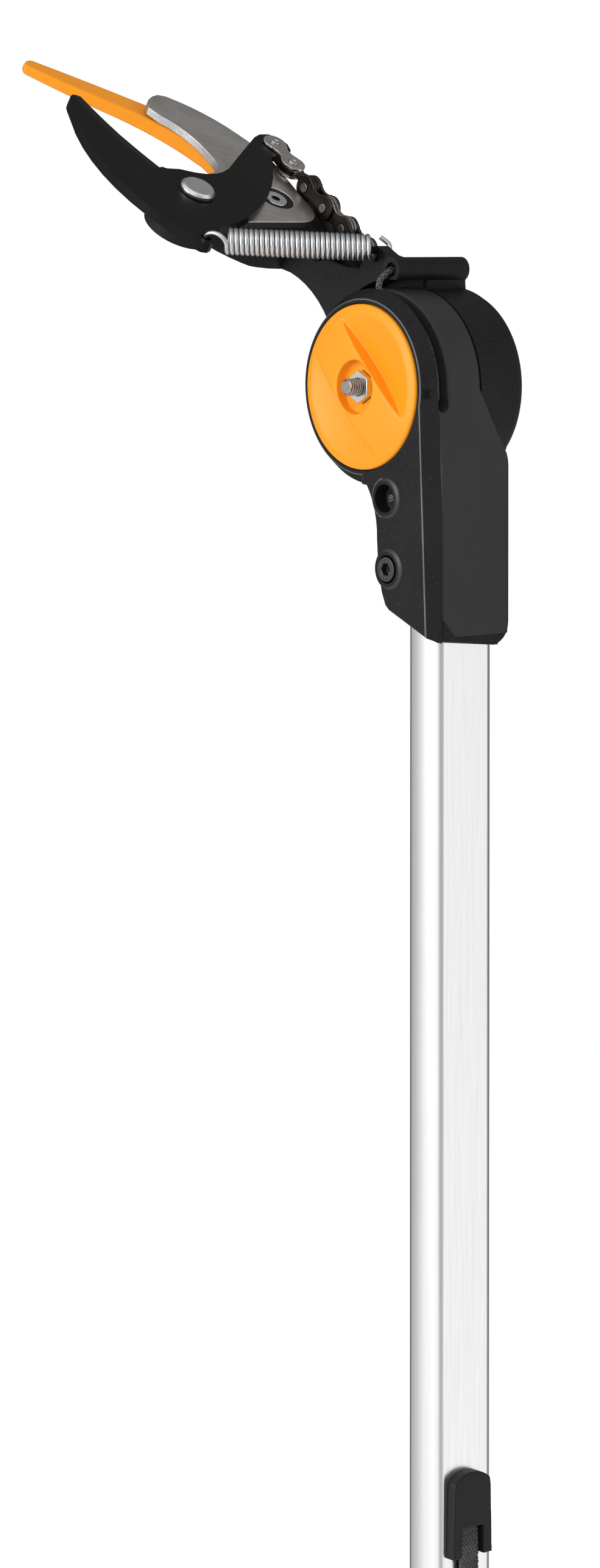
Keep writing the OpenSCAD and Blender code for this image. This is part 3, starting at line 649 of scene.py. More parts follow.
# Near-black for the inside of the blade screw's hex socket: painted shade in the recess
socket_shade_black = finish_of(
    "socket_shade_black",
    WORN,
    {"Color": grey(0.01), "Dull": grey(0.02), "Roughness": 0.6},
    specular=0.2,
)
sign_black = finish_of(
    "sign_black",
    WORN,
    {"Color": grey(0.0045), "Dull": grey(0.007), "Patches": 500.0, "Roughness": 0.55},
    specular=0.12,
)
braid_black = finish_of(
    "braid_black",
    DRAWN,
    {
        "Color": grey(0.008),
        "Line": grey(0.05),
        "Stain": grey(0.22),
        "Lines": (5200.0, 5200.0, 900.0),
        "Stains": 0.4,
        "Roughness": 0.36,
        "Uneven": 0.3,
    },
    bump=0.4,
    depth=0.05,
    specular=0.6,
)


# Piece helpers
def new_piece(name, mesh, materials, smooth=35.0):
    piece = bpy.data.objects.new(name, mesh)
    scene.collection.objects.link(piece)
    if mesh.materials:
        mesh.materials.clear()
    for material in materials:
        mesh.materials.append(material)
    mesh.shade_smooth()
    mesh.set_sharp_from_angle(angle=math.radians(smooth))
    return piece


def from_bmesh(name, bm, materials, smooth=35.0):
    mesh = bpy.data.meshes.new(name)
    bm.to_mesh(mesh)
    bm.free()
    return new_piece(name, mesh, materials, smooth)


def solid_copy(node, mend=None, merge=0.002):
    """A merged copy of a solid, with its flat faces made whole."""
    bm = bmesh.new()
    bm.from_mesh(frame["nodes"][node].data)
    bmesh.ops.remove_doubles(bm, verts=bm.verts, dist=merge * MM)
    if mend:
        mend(bm)
    bmesh.ops.dissolve_degenerate(bm, edges=bm.edges, dist=0.001 * MM)
    bmesh.ops.dissolve_limit(bm, angle_limit=math.radians(0.4), verts=bm.verts, edges=bm.edges)
    return bm


def stand_for(piece, *nodes):
    """The piece takes these nodes' place and body."""
    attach(piece, frame["nodes"][nodes[0]]["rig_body"])
    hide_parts(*nodes)
    return piece


def round_edges(bm, edges, width, segments, index=-1):
    """Round edges of a mesh by a width in millimetres; the new faces may take a material index."""
    bmesh.ops.bevel(
        bm,
        geom=edges,
        offset=width * MM,
        offset_type="OFFSET",
        affect="EDGES",
        segments=segments,
        profile=0.5,
        material=index,
        clamp_overlap=False,
    )


def cut_across(bm, place, way):
    """Cut a mesh's faces along a plane, with nothing taken away."""
    whole = [*bm.verts, *bm.edges, *bm.faces]
    bmesh.ops.bisect_plane(bm, geom=whole, plane_co=place, plane_no=way)


def soften(piece, width, segments=2, angle=30.0, edge_slot=-1, clamp=True):
    modifier = piece.modifiers.new("soft_edges", "BEVEL")
    modifier.width = width * MM
    modifier.segments = segments
    modifier.limit_method = "ANGLE"
    modifier.angle_limit = math.radians(angle)
    modifier.use_clamp_overlap = clamp
    modifier.material = edge_slot
    shading = piece.modifiers.new("flat_faces", "WEIGHTED_NORMAL")
    shading.keep_sharp = True
    return piece


def dressed(node, materials, width, segments=2, angle=30.0, edge_slot=-1, clamp=True):
    """A copy of a solid with softened edges, in the solid's place."""
    piece = from_bmesh(node + "_finish", solid_copy(node), materials)
    soften(piece, width, segments, angle, edge_slot, clamp)
    return stand_for(piece, node)


def round_over(piece, voxel, passes):
    """Round a piece's edges all over."""
    even = piece.modifiers.new("even_faces", "REMESH")
    even.mode = "VOXEL"
    even.voxel_size = voxel * MM
    even.use_smooth_shade = True
    ease = piece.modifiers.new("soft_edges", "SMOOTH")
    ease.factor = 0.5
    ease.iterations = passes


def rounded(node, materials, voxel, passes):
    """A copy of a solid with its edges rounded all over, in the solid's place."""
    piece = from_bmesh(node + "_finish", solid_copy(node), materials)
    round_over(piece, voxel, passes)
    return stand_for(piece, node)


def tube(name, paths, radius, materials, rings=3):
    """Round wires along paths, as one mesh."""
    data = bpy.data.curves.new(name, "CURVE")
    data.dimensions = "3D"
    data.bevel_depth = radius
    data.bevel_resolution = rings
    data.use_fill_caps = True
    for path in paths:
        spline = data.splines.new("POLY")
        spline.points.add(len(path) - 1)
        for point, place in zip(spline.points, path):
            point.co = (*place, 1.0)
    line = bpy.data.objects.new(name + "_line", data)
    scene.collection.objects.link(line)
    graph = bpy.context.evaluated_depsgraph_get()
    mesh = bpy.data.meshes.new_from_object(line.evaluated_get(graph))
    mesh.name = name
    bpy.data.objects.remove(line)
    bpy.data.curves.remove(data)
    return new_piece(name, mesh, materials, 60.0)


def smooth_path(points, steps):
    """Points along a smooth curve through the given points."""
    padded = [points[0] * 2 - points[1], *points, points[-1] * 2 - points[-2]]
    path = []
    for a, b, c, d in zip(padded, padded[1:], padded[2:], padded[3:]):
        for i in range(steps):
            t = i / steps
            place = 2 * b + (c - a) * t
            place += (2 * a - 5 * b + 4 * c - d) * t**2
            place += (3 * b - a - 3 * c + d) * t**3
            path.append(0.5 * place)
    return [*path, points[-1]]


def carried_frames(path):
    """Tangent and two sides at each point, carried along without twist."""
    side = Vector((0.3, 0.9, 0.1))
    frames = []
    for i in range(len(path)):
        tangent = (path[min(i + 1, len(path) - 1)] - path[max(i - 1, 0)]).normalized()
        side = (side - tangent * side.dot(tangent)).normalized()
        frames.append((tangent, side, tangent.cross(side)))
    return frames


def spun(profile, axis_place, turn, segments=48):
    """A solid of revolution about Y from (radius, y) points in millimetres."""
    bm = bmesh.new()
    verts = [bm.verts.new((r * MM, y * MM, 0)) for r, y in profile]
    edges = [bm.edges.new(pair) for pair in zip(verts, verts[1:])]
    bmesh.ops.spin(
        bm,
        geom=[*verts, *edges],
        cent=(0, 0, 0),
        axis=(0, 1, 0),
        angle=math.tau,
        steps=segments,
        use_merge=True,
    )
    bmesh.ops.remove_doubles(bm, verts=bm.verts, dist=0.002 * MM)
    bmesh.ops.recalc_face_normals(bm, faces=bm.faces)
    bmesh.ops.transform(bm, matrix=Matrix.Translation(axis_place) @ turn, verts=bm.verts)
    return bm


def faces_where(bm, test):
    """Faces whose middle and normal, in the head frame, pass the test."""
    turn_back = head_back.to_3x3()
    found = []
    for face in bm.faces:
        if test(head_back @ face.calc_center_median(), (turn_back @ face.normal).normalized()):
            found.append(face)
    return found


def round_ends(bm, most_area):
    """Round end faces, such as those of pins, up to an area in square millimetres."""
    found = []
    for face in bm.faces:
        if len(face.verts) < 10 or face.calc_area() > most_area * MM**2:
            continue
        middle = face.calc_center_median()
        reach = [(vert.co - middle).length for vert in face.verts]
        if max(reach) < 1.08 * min(reach):
            found.append(face)
    return found


def paint(faces, index, walls=False):
    """Material index for faces, and for the walls round them."""
    for face in faces:
        face.material_index = index
        for edge in face.edges if walls else ():
            for wall in edge.link_faces:
                if len(wall.verts) < 10:
                    wall.material_index = index


# Pole: rounded corners, and a slot that ends behind the guide. Its ends, hidden in casing and cap, are open
# while the corners are rounded, and cuts above and below the slot keep the slot's faces off the corners
POLE_CORNER = 2.6
POLE_HALF = 8.2
POLE_MERGE = 0.15
POLE_END = 0.1
LONG_EDGE = 20
CORNER_OUT = 10
SLOT_TOP = 37
SLOT_SHORT = 9
guide_low, guide_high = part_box("strap_guide")
guide_z = (guide_low.z + guide_high.z) / 2
pole_low, pole_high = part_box("pole_tube")
slot_from = guide_z - SLOT_TOP * MM
slot_to = guide_z + 2 * SLOT_SHORT * MM


def shorten_slot(bm):
    """The strap's slot ends behind the guide."""
    for vert in bm.verts:
        if abs(vert.co.z - guide_z - SLOT_TOP * MM) < 0.5 * MM:
            vert.co.z = guide_z + SLOT_SHORT * MM


def at_level(place, level):
    return abs(place.z - level) < POLE_END * MM


pole_mesh = solid_copy("pole_tube", shorten_slot, POLE_MERGE)
ends = []
for face in pole_mesh.faces:
    middle = face.calc_center_median()
    if at_level(middle, pole_low.z) or at_level(middle, pole_high.z):
        ends.append(face)
bmesh.ops.delete(pole_mesh, geom=ends, context="FACES")
for level in (slot_from, slot_to):
    cut_across(pole_mesh, (0, 0, level), (0, 0, 1))
corners = []
bridges = []
for edge in pole_mesh.edges:
    first, second = (vert.co for vert in edge.verts)
    bend = edge.calc_face_angle(0)
    lower, upper = sorted((first.z, second.z))
    if upper - lower < LONG_EDGE * MM:
        continue
    clear_of_slot = lower > slot_to - MM or upper < slot_from + MM
    if bend < 0.01 and clear_of_slot and not edge.is_boundary:
        bridges.append(edge)
    elif edge.is_convex and bend > math.radians(20) and abs(first.y) > CORNER_OUT * MM:
        corners.append(edge)
bmesh.ops.dissolve_edges(pole_mesh, edges=bridges, use_verts=True)
round_edges(pole_mesh, corners, POLE_CORNER, 8)
for end in (pole_low.z, pole_high.z):
    rim = []
    for edge in pole_mesh.edges:
        if edge.is_boundary and all(at_level(vert.co, end) for vert in edge.verts):
            rim.append(edge)
    bmesh.ops.triangle_fill(pole_mesh, use_beauty=True, use_dissolve=False, edges=rim)
bmesh.ops.recalc_face_normals(pole_mesh, faces=pole_mesh.faces)
pole = from_bmesh("pole_tube_finish", pole_mesh, [pole_metal])
soften(pole, 0.25, 2, 50.0)
stand_for(pole, "pole_tube")

# Casing's front shell: a painted highlight line round its face, and glossier collars at its two recesses
FACE_Y = -18.5
RING_R = 30.3
COLLAR_R = 7.2
front_mesh = solid_copy("casing_front")
clamp_low, clamp_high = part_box("clamp_screw")
knot_low, knot_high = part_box("cord_knot")
recess_spots = ((clamp_low + clamp_high) / 2, (knot_low + knot_high) / 2)


def reach_of(place, spot):
    """Distance from a spot across the casing's face, in millimetres."""
    return math.hypot(place.x - spot.x, place.z - spot.z) / MM


def at_face_rim(edge):
    """An edge round the outside of the casing's face, not one at the dial or at a recess."""
    middle = (edge.verts[0].co + edge.verts[1].co) / 2
    facing = sorted(face.normal.y for face in edge.link_faces)
    return (
        all(abs(vert.co.y / MM - FACE_Y) < 0.01 for vert in edge.verts)
        and facing[0] < -0.98
        and -0.9 < facing[1] < 0.2
        and reach_of(middle, hinge) > RING_R - 0.2
        and all(reach_of(middle, spot) > COLLAR_R + 0.3 for spot in recess_spots)
    )


for spot in recess_spots:
    rims = []
    for face in front_mesh.faces:
        middle = face.calc_center_median()
        at_rim = reach_of(middle, spot) < COLLAR_R and middle.y < (FACE_Y + 0.1) * MM
        if at_rim and -0.97 < face.normal.y < -0.1:
            rims.append(face)
    paint(rims, 2)
# The rim's rounded faces take the lighter grey, a painted highlight line
round_edges(front_mesh, [edge for edge in front_mesh.edges if at_face_rim(edge)], 0.3, 2, 1)
front = from_bmesh("casing_front_finish", front_mesh, [speckled_black, edge_highlight_black, rim_black])
soften(front, 0.3, 2)
stand_for(front, "casing_front")

# The rear shell's side walls: the solid has a V cut in each, which is drawn out to the rim here
RIM_Y = 6.2
CUT_DEEP = 14.14
CUT_TIP_Z = 3.14


def close_side_cuts(bm):
    for vert in bm.verts:
        y = vert.co.y / MM
        z = (vert.co.z - hinge.z) / MM
        if y < RIM_Y and abs(RIM_Y - CUT_DEEP + abs(z - CUT_TIP_Z) - y) < 0.05:
            vert.co.y = RIM_Y * MM


# The rear shell's smooth panel ends above a speckled frame: cuts at y, z from the hinge, and their slant
PANEL_CUTS = ((0, -84.2, 0), (-10.2, -81.5, -48))
rear_mesh = solid_copy("casing_rear", close_side_cuts)
for cut_y, cut_z, slant in PANEL_CUTS:
    cut_at = hinge + Vector((0, cut_y - hinge.y / MM, cut_z)) * MM
    down = Matrix.Rotation(math.radians(slant), 3, "X") @ Vector((0, 0, -1))
    cut_across(rear_mesh, cut_at, down)
    paint([face for face in rear_mesh.faces if (face.calc_center_median() - cut_at).dot(down) > 0], 1)
rear = from_bmesh("casing_rear_finish", rear_mesh, [panel_black, speckled_black])
soften(rear, 0.9, 3, clamp=False)
stand_for(rear, "casing_rear")

# Arm, hub cover and casing screws
dressed("head_arm", [speckled_black], 0.6, 2)
dressed("hub_cover", [satin_black], 1.0, 3)
dressed("cover_screws", [black_steel], 0.35, 2)
dressed("clamp_screw", [black_steel], 0.5, 3)
dressed("clamp_nut", [zinc], 0.3, 2)

# Strap guide: rounded upper corners and sides that draw in towards the top
GUIDE_CORNER = 3.0
GUIDE_DRAW = 0.07
guide_mesh = solid_copy("strap_guide")
upper_corners = []
for edge in guide_mesh.edges:
    middle = (edge.verts[0].co + edge.verts[1].co) / 2
    across = abs(edge.verts[0].co.x - edge.verts[1].co.x)
    if across > 1 * MM and middle.z > guide_z and abs(middle.y) > guide_high.y - 0.1 * MM:
        upper_corners.append(edge)
round_edges(guide_mesh, upper_corners, GUIDE_CORNER, 6)
for vert in guide_mesh.verts:
    vert.co.y *= 1 - GUIDE_DRAW * (vert.co.z - guide_low.z) / (guide_high.z - guide_low.z)
guide = from_bmesh("strap_guide_finish", guide_mesh, [satin_black])
round_over(guide, 0.25, 9)
stand_for(guide, "strap_guide")

# End cap, handle and drums
dressed("end_cap", [dial_orange], 2.0, 3)
dressed("slide_handle", [satin_black], 1.6, 3)
dressed("strap_pin", [zinc], 0.3, 2)
dressed("strap_drum", [drum_black], 0.3, 1)
dressed("chain_drum", [drum_black], 0.3, 1)

# Dial and its nut
rounded("dial_knob", [dial_orange], 0.28, 16)
dressed("dial_nut", [zinc], 0.35, 2)

# Blades
JAW_TOP = 16.9
dressed("hook_finger", [finger_orange], 1.0, 4, 25.0, clamp=False)
rounded("pivot_rivet", [zinc], 0.22, 8)
dressed("screw_ring", [satin_black], 0.4, 2)

screw_low, screw_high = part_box("blade_screw")
screw_at = head_back @ ((screw_low + screw_high) / 2)
SOCKET_R = 1.9
screw_mesh = solid_copy("blade_screw")
# The socket's inner faces take the near-black: painted shade in the recess
socket = faces_where(
    screw_mesh,
    lambda middle, way: (middle - screw_at).to_2d().length < SOCKET_R and 11.6 < middle.z < 12.9,
)
paint(socket, 1)
screw = from_bmesh("blade_screw_finish", screw_mesh, [zinc, socket_shade_black])
soften(screw, 0.25, 2)
stand_for(screw, "blade_screw")

jaw_mesh = solid_copy("jaw")
sloped = faces_where(jaw_mesh, lambda middle, way: 0.7 < way.z < 0.999 and middle.z > JAW_TOP - 1.5)
paint(sloped, 2)
jaw = from_bmesh("jaw_finish", jaw_mesh, [jaw_coat, jaw_edge, jaw_grind])
soften(jaw, 0.45, 2, 30.0, 1)
stand_for(jaw, "jaw")

blade_mesh = solid_copy("fixed_blade")
cutting = faces_where(
    blade_mesh,
    lambda middle, way: abs(way.z) < 0.5 and 100 < middle.x < 153 and way.y > 0.25,
)
paint(cutting, 1)
blade = from_bmesh("fixed_blade_finish", blade_mesh, [blade_steel, ground_edge])
soften(blade, 0.3, 3)
stand_for(blade, "fixed_blade")

# Chain
link_mesh = solid_copy("chain_end_link")
link_pins = round_ends(link_mesh, 30)
bmesh.ops.inset_individual(link_mesh, faces=link_pins, thickness=0.8 * MM, depth=0)
bmesh.ops.inset_individual(link_mesh, faces=link_pins, thickness=0.25 * MM, depth=-0.35 * MM)
link = from_bmesh("chain_end_link_finish", link_mesh, [nickel])
soften(link, 0.22, 2)
stand_for(link, "chain_end_link")
for plates in ("chain_outer_plates", "chain_twist_link"):
    plates_mesh = solid_copy(plates)
    paint(round_ends(plates_mesh, 30), 1, True)
    plates_piece = from_bmesh(plates + "_finish", plates_mesh, [oiled_steel, pin_and_highlight_steel])
    soften(plates_piece, 0.2, 2)
    stand_for(plates_piece, plates)
# Inner plates: their side walls and rounded edges take the lighter steel, a painted highlight along the
# plate edges
inner_mesh = solid_copy("chain_inner_plates")
paint([face for face in inner_mesh.faces if len(face.verts) < 10], 1)
inner = from_bmesh("chain_inner_plates_finish", inner_mesh, [oiled_steel, pin_and_highlight_steel])
soften(inner, 0.25, 2, 30.0, 1)
stand_for(inner, "chain_inner_plates")
dressed("chain_rollers", [roller_steel], 0.25, 2)
dressed("chain_anchor", [oiled_steel], 0.2, 1)

# Axle: plain bar, domed head and a real thread at the dial
axle_low, axle_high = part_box("axle_bolt")
AXLE_R = 3.0
THREAD_PITCH = 1.0
THREAD_DEPTH = 0.42
THREAD_STEPS = 28
THREAD_WIRE = 0.29
stud_y = axle_low.y / MM
head_y = axle_high.y / MM
thread_end = stud_y + 10.5
core = AXLE_R - THREAD_DEPTH
axle_mesh = spun(
    [
        (0, stud_y),
        (core - 0.5, stud_y),
        (core, stud_y + 0.5),
        (core, thread_end),
        (AXLE_R, thread_end + 0.4),
        (AXLE_R, head_y - 3.1),
        (6.4, head_y - 3.1),
        (6.6, head_y - 2.9),
        (6.5, head_y - 1.8),
        (5.6, head_y - 0.8),
        (3.6, head_y - 0.1),
        (0, head_y),
    ],
    Vector((hinge.x, 0, hinge.z)),
    Matrix.Identity(4),
)
stand_for(from_bmesh("axle_finish", axle_mesh, [thread_steel]), "axle_bolt")
thread_turns = (thread_end - stud_y - 1) / THREAD_PITCH
thread_path = []
for i in range(int(thread_turns * THREAD_STEPS)):
    angle = math.tau * i / THREAD_STEPS
    radius = (core + 0.12) * MM
    thread_path.append(
        Vector(
            (
                hinge.x + radius * math.cos(angle),
                (stud_y + 0.6 + THREAD_PITCH * i / THREAD_STEPS) * MM,
                hinge.z + radius * math.sin(angle),
            )
        )
    )
thread = tube("axle_thread", [thread_path], THREAD_WIRE * MM, [thread_steel], 2)
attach(thread, "pole")

# Return spring: the wire's route in the head frame, in millimetres
SPRING_WIRE = 1.68
SPRING_R = 4.0
SPRING_TURNS = 28
CURL_STEPS = 24
spring_a = Vector((64.2, 53.3, 15.1))
spring_b = Vector((32.6, 6.6, 31.8))
coil_a = spring_a + Vector((-4, -5.9, 3.1))
coil_b = spring_b + Vector((1.5, 2.3, 2.6))
spring_body = (coil_b - coil_a).length
spring_axis = (coil_b - coil_a) / spring_body
spring_side = Vector((0, 0, 1)).cross(spring_axis).normalized()
spring_up = spring_axis.cross(spring_side)


def spring_at(along, radius, degrees):
    turn = math.radians(degrees)
    return (
        coil_a
        + spring_axis * along
        + spring_side * (radius * math.cos(turn))
        + spring_up * (radius * math.sin(turn))
    )


hook_from = (spring_a - coil_a).dot(spring_axis)
HOOK_STEPS = 14
spring_hook = [spring_a - spring_up * SPRING_WIRE]
for i in range(HOOK_STEPS):
    share = i / HOOK_STEPS
    arc = math.pi * share
    to_coil = share * share * (3 - 2 * share)
    spring_hook.append(
        coil_a
        + spring_axis * (hook_from * (1 + math.cos(arc)) / 2)
        - spring_side * (SPRING_R * to_coil)
        + spring_up * (SPRING_R * math.sin(arc))
    )
spring_coil = []
for i in range(SPRING_TURNS * CURL_STEPS + 1):
    share = i / (SPRING_TURNS * CURL_STEPS)
    spring_coil.append(spring_at(spring_body * share, SPRING_R, 180 + 360 * SPRING_TURNS * share))
spring_tail = [spring_at(spring_body + 0.6, SPRING_R, 205), spring_at(spring_body + 1.4, SPRING_R, 232)]
TAIL_STEPS = ((0, 0, 0), (0.3, -3.5, 0.3), (0.6, -7, 0.6), (3.2, -8.2, 2.6), (6.6, -6.2, 3.4))
spring_tail += [spring_b + Vector(step) for step in TAIL_STEPS]
spring_route = smooth_path([*spring_hook, spring_coil[0]], 5)[:-1] + spring_coil
spring_route += smooth_path([spring_coil[-1], *spring_tail], 5)[1:]
spring_line = [head @ point for point in spring_route]
spring = tube("return_spring_wire", [spring_line], SPRING_WIRE / 2 * MM, [spring_zinc], 3)
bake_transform(spring)
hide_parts("return_spring")

# Compensation cord: eight plaited strands along the cord's route
CORD_R = 30.2
CORD_Y = -11.225
GROOVE_END = -8.5
TUBE_R, TUBE_TURN = 40.55, 84.04
CORD_STRANDS = 8
CORD_REACH = 0.76
CORD_WEAVE = 0.14
CORD_PITCH = 8.0
CORD_YARN = 0.36
KNOT_LOOPS = 5
KNOT_R = 1.45
KNOT_STEPS = 28
knot_at = (knot_low + knot_high) / 2


def polar(radius, degrees, y):
    turn = math.radians(degrees)
    return hinge + Vector((radius * math.cos(turn), y, radius * math.sin(turn))) * MM


cord_end = polar(CORD_R, GROOVE_END, CORD_Y)
cord_points = [polar(TUBE_R, TUBE_TURN, y) for y in (20, 8, -7)]
cord_points += [polar(TUBE_R - 1, TUBE_TURN + 1, -9.4), polar(36.6, 88, CORD_Y), polar(32.6, 88, CORD_Y)]
cord_points += [polar(CORD_R, degrees, CORD_Y) for degrees in range(80, -6, -8)]
cord_points += [cord_end, (cord_end * 3 + knot_at) / 4, knot_at]
cord_path = smooth_path(cord_points, 16)


def plaited(path, strands, reach, weave, pitch):
    """Strands wound both ways round a path, passing over and under each other."""
    frames = carried_frames(path)
    routes = []
    for k in range(strands):
        hand = 1 if k % 2 else -1
        route = []
        run = 0.0
        for i, (place, (_, side, up)) in enumerate(zip(path, frames)):
            run += (place - path[i - 1]).length if i else 0.0
            turn = hand * math.tau * run / pitch + math.tau * k / strands
            radius = reach + weave * hand * math.sin(strands / 2 * math.tau * run / pitch)
            route.append(place + side * (radius * math.cos(turn)) + up * (radius * math.sin(turn)))
        routes.append(route)
    return routes


def even_path(path, step):
    """The path with points at even distances."""
    even = [path[0]]
    for a, b in zip(path, path[1:]):
        while (b - even[-1]).length > step:
            even.append(even[-1] + (b - even[-1]).normalized() * step)
    return even


cord_even = even_path(cord_path, 0.30 * MM)
cord_strands = plaited(cord_even, CORD_STRANDS, CORD_REACH * MM, CORD_WEAVE * MM, CORD_PITCH * MM)
cord = tube("cord_plait", [cord_even, *cord_strands], CORD_YARN * MM, [braid_black], 1)
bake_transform(cord)
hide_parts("cord")
knot_loops = []
for k in range(KNOT_LOOPS):
    tilt = Matrix.Rotation(k * 0.9, 3, "X") @ Matrix.Rotation(k * 1.3, 3, "Z")
    loop = [
        knot_at + tilt @ Vector((math.cos(t), math.sin(t), 0.25 * math.sin(3 * t))) * KNOT_R * MM
        for t in (math.tau * i / KNOT_STEPS for i in range(KNOT_STEPS + 1))
    ]
    knot_loops.append(loop)
knot = tube("cord_knot_turns", knot_loops, 0.75 * MM, [braid_black], 2)
stand_for(knot, "cord_knot")

# Strap: a flat tubular plait from inside the guide to its loop round the handle's pin
STRAP_HALF = 4.1
STRAP_FLAT = 0.34
STRAP_YARN = 0.40
STRAP_YARNS = 24
STRAP_PITCH = 19.0
pin_low, pin_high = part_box("strap_pin")
strap_low, strap_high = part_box("strap")
pin_at = Vector(((pin_low.x + pin_high.x) / 2, 0, (pin_low.z + pin_high.z) / 2))
strap_out = guide_low.x + 1.3 * MM
strap_run = [
    Vector((strap_low.x + 0.6 * MM, 0, guide_z + 60 * MM)),
    Vector(((POLE_HALF - 2.9) * MM, 0, guide_z + (SLOT_SHORT + 2.5) * MM)),
    Vector((strap_out, 0, guide_z - 4 * MM)),
    Vector((strap_out, 0, pin_at.z + 6 * MM)),
]
LOOP_R = 2.05
for i in range(1, 18):
    turn = math.pi + i * math.radians(20)
    strap_run.append(pin_at + Vector((math.cos(turn), 0, math.sin(turn))) * LOOP_R * MM)
strap_even = even_path(smooth_path(strap_run, 14), 0.5 * MM)


def flat_plait(path, yarns, half, flat, pitch):
    """Yarns of a tubular braid pressed flat, both hands, over and under each other."""
    side = Vector((0, 1, 0))
    routes = []
    for k in range(yarns):
        hand = 1 if k % 2 else -1
        route = []
        run = 0.0
        for i, place in enumerate(path):
            tangent = (path[min(i + 1, len(path) - 1)] - path[max(i - 1, 0)]).normalized()
            out = side.cross(tangent)
            run += (place - path[i - 1]).length if i else 0.0
            turn = hand * math.tau * run / pitch + math.tau * k / yarns
            across = half * 2 / math.pi * math.asin(math.sin(turn))
            face = math.cos(turn)
            lift = flat * face / math.sqrt(face * face + 0.02)
            lift += 0.14 * MM * hand * math.sin(yarns / 4 * math.tau * run / pitch)
            route.append(place + side * across + out * lift)
        routes.append(route)
    return routes


strap_yarns = flat_plait(strap_even, STRAP_YARNS, STRAP_HALF * MM, STRAP_FLAT * MM, STRAP_PITCH * MM)
hidden_run = [
    [
        Vector((strap_low.x + 0.6 * MM, y * MM, guide_z + 58 * MM)),
        Vector((strap_low.x + 0.6 * MM, (y - 2.9) * MM, strap_high.z - 1 * MM)),
    ]
    for y in (-3.6, -2.7, -1.8, -0.9, 0, 0.9, 1.8, 2.7, 3.6)
]
strap = tube("strap_plait", [*strap_yarns, *hidden_run], STRAP_YARN * MM, [braid_black], 1)
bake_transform(strap)
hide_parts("strap")

# Winding on the strap drum: the plait's turns, hidden in the casing
winding_low, winding_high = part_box("strap_winding")
WINDING_R = 23.2
WINDING_TURNS = 9
RING_STEP = 5
turns = []
for k in range(WINDING_TURNS):
    y = winding_low.y + (winding_high.y - winding_low.y) * (k + 0.5) / WINDING_TURNS
    ring = [polar(WINDING_R, degrees, (y - hinge.y) / MM) for degrees in range(0, 361, RING_STEP)]
    turns.append(ring)
winding = tube("strap_winding_turns", turns, 0.5 * MM, [braid_black], 1)
stand_for(winding, "strap_winding")

# Grip of the sliding handle: ribs round its outside
RIB_STEP = 4.5
RIB_RISE = 0.8
grip_mesh = solid_copy("slide_grip")
grip_low, grip_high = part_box("slide_grip")
ribs = int((grip_high.z - grip_low.z) / MM / RIB_STEP)
rib_levels = [grip_low.z + RIB_STEP * MM * (i + 0.5) for i in range(1, ribs - 1)]
for level in rib_levels:
    for shift in (-1.5, -0.8, 0.8, 1.5):
        cut_across(grip_mesh, (0, 0, level + shift * MM), (0, 0, 1))
GRIP_FLAT = 14.7
GRIP_ROUND = 18.9
for vert in grip_mesh.verts:
    x, y = vert.co.x / MM, vert.co.y / MM
    outside = abs(x) > GRIP_FLAT or math.hypot(x, y) > GRIP_ROUND
    if outside and any(abs(vert.co.z - level) < 1.0 * MM for level in rib_levels):
        out = Vector((x, y, 0)).normalized()
        vert.co += out * RIB_RISE * MM
grip = from_bmesh("slide_grip_finish", grip_mesh, [dial_orange])
soften(grip, 0.3, 2)
stand_for(grip, "slide_grip")

# Padlock sign on the ring's wall beside the dial: it lies on its side, its shackle to the groove
SIGN_TURN = math.radians(-3)
SIGN_PLACE = (32.05, -16.1)
WALL_RISE = 3.5
WALL_RUN = 4.8
out_way = Vector((math.cos(SIGN_TURN), 0, math.sin(SIGN_TURN)))
round_way = Vector((-math.sin(SIGN_TURN), 0, math.cos(SIGN_TURN)))
back_way = (out_way * WALL_RISE + Vector((0, WALL_RUN, 0))).normalized()
wall_way = round_way.cross(back_way).normalized()
sign_at = hinge + (out_way * SIGN_PLACE[0] + Vector((0, SIGN_PLACE[1], 0))) * MM
sign_frame = Matrix((back_way, round_way, -wall_way)).transposed().to_4x4()
sign_frame.translation = sign_at
LOCK_LONG = 2.5
LOCK_HIGH = 3.3
LOCK_RISE = 0.36
LOCK_MIDDLE = -0.85
LOCK_EDGE = 0.14
SHACKLE_R = 0.95
SHACKLE_WIRE = 0.26
sign_mesh = bmesh.new()
bmesh.ops.create_cube(sign_mesh, size=1)
bmesh.ops.scale(sign_mesh, vec=(LOCK_LONG * MM, LOCK_HIGH * MM, LOCK_RISE * MM), verts=sign_mesh.verts)
bmesh.ops.translate(sign_mesh, vec=(LOCK_MIDDLE * MM, 0, 0), verts=sign_mesh.verts)
round_edges(sign_mesh, sign_mesh.edges[:], LOCK_EDGE, 2)
bmesh.ops.transform(sign_mesh, matrix=sign_frame, verts=sign_mesh.verts)
sign = from_bmesh("lock_sign", sign_mesh, [sign_black])
shackle_from = LOCK_MIDDLE + LOCK_LONG / 2
shackle_line = [Vector((shackle_from - 0.3, -SHACKLE_R, 0))]
for i in range(11):
    turn = math.pi * i / 10
    shackle_line.append(
        Vector((shackle_from + 0.55 + SHACKLE_R * math.sin(turn), -SHACKLE_R * math.cos(turn), 0))
    )
shackle_line.append(Vector((shackle_from - 0.3, SHACKLE_R, 0)))
shackle_path = [sign_frame @ (point * MM) for point in shackle_line]
shackle = tube("lock_sign_shackle", [shackle_path], SHACKLE_WIRE * MM, [sign_black], 2)
for sign_piece in (sign, shackle):
    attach(sign_piece, "pole")

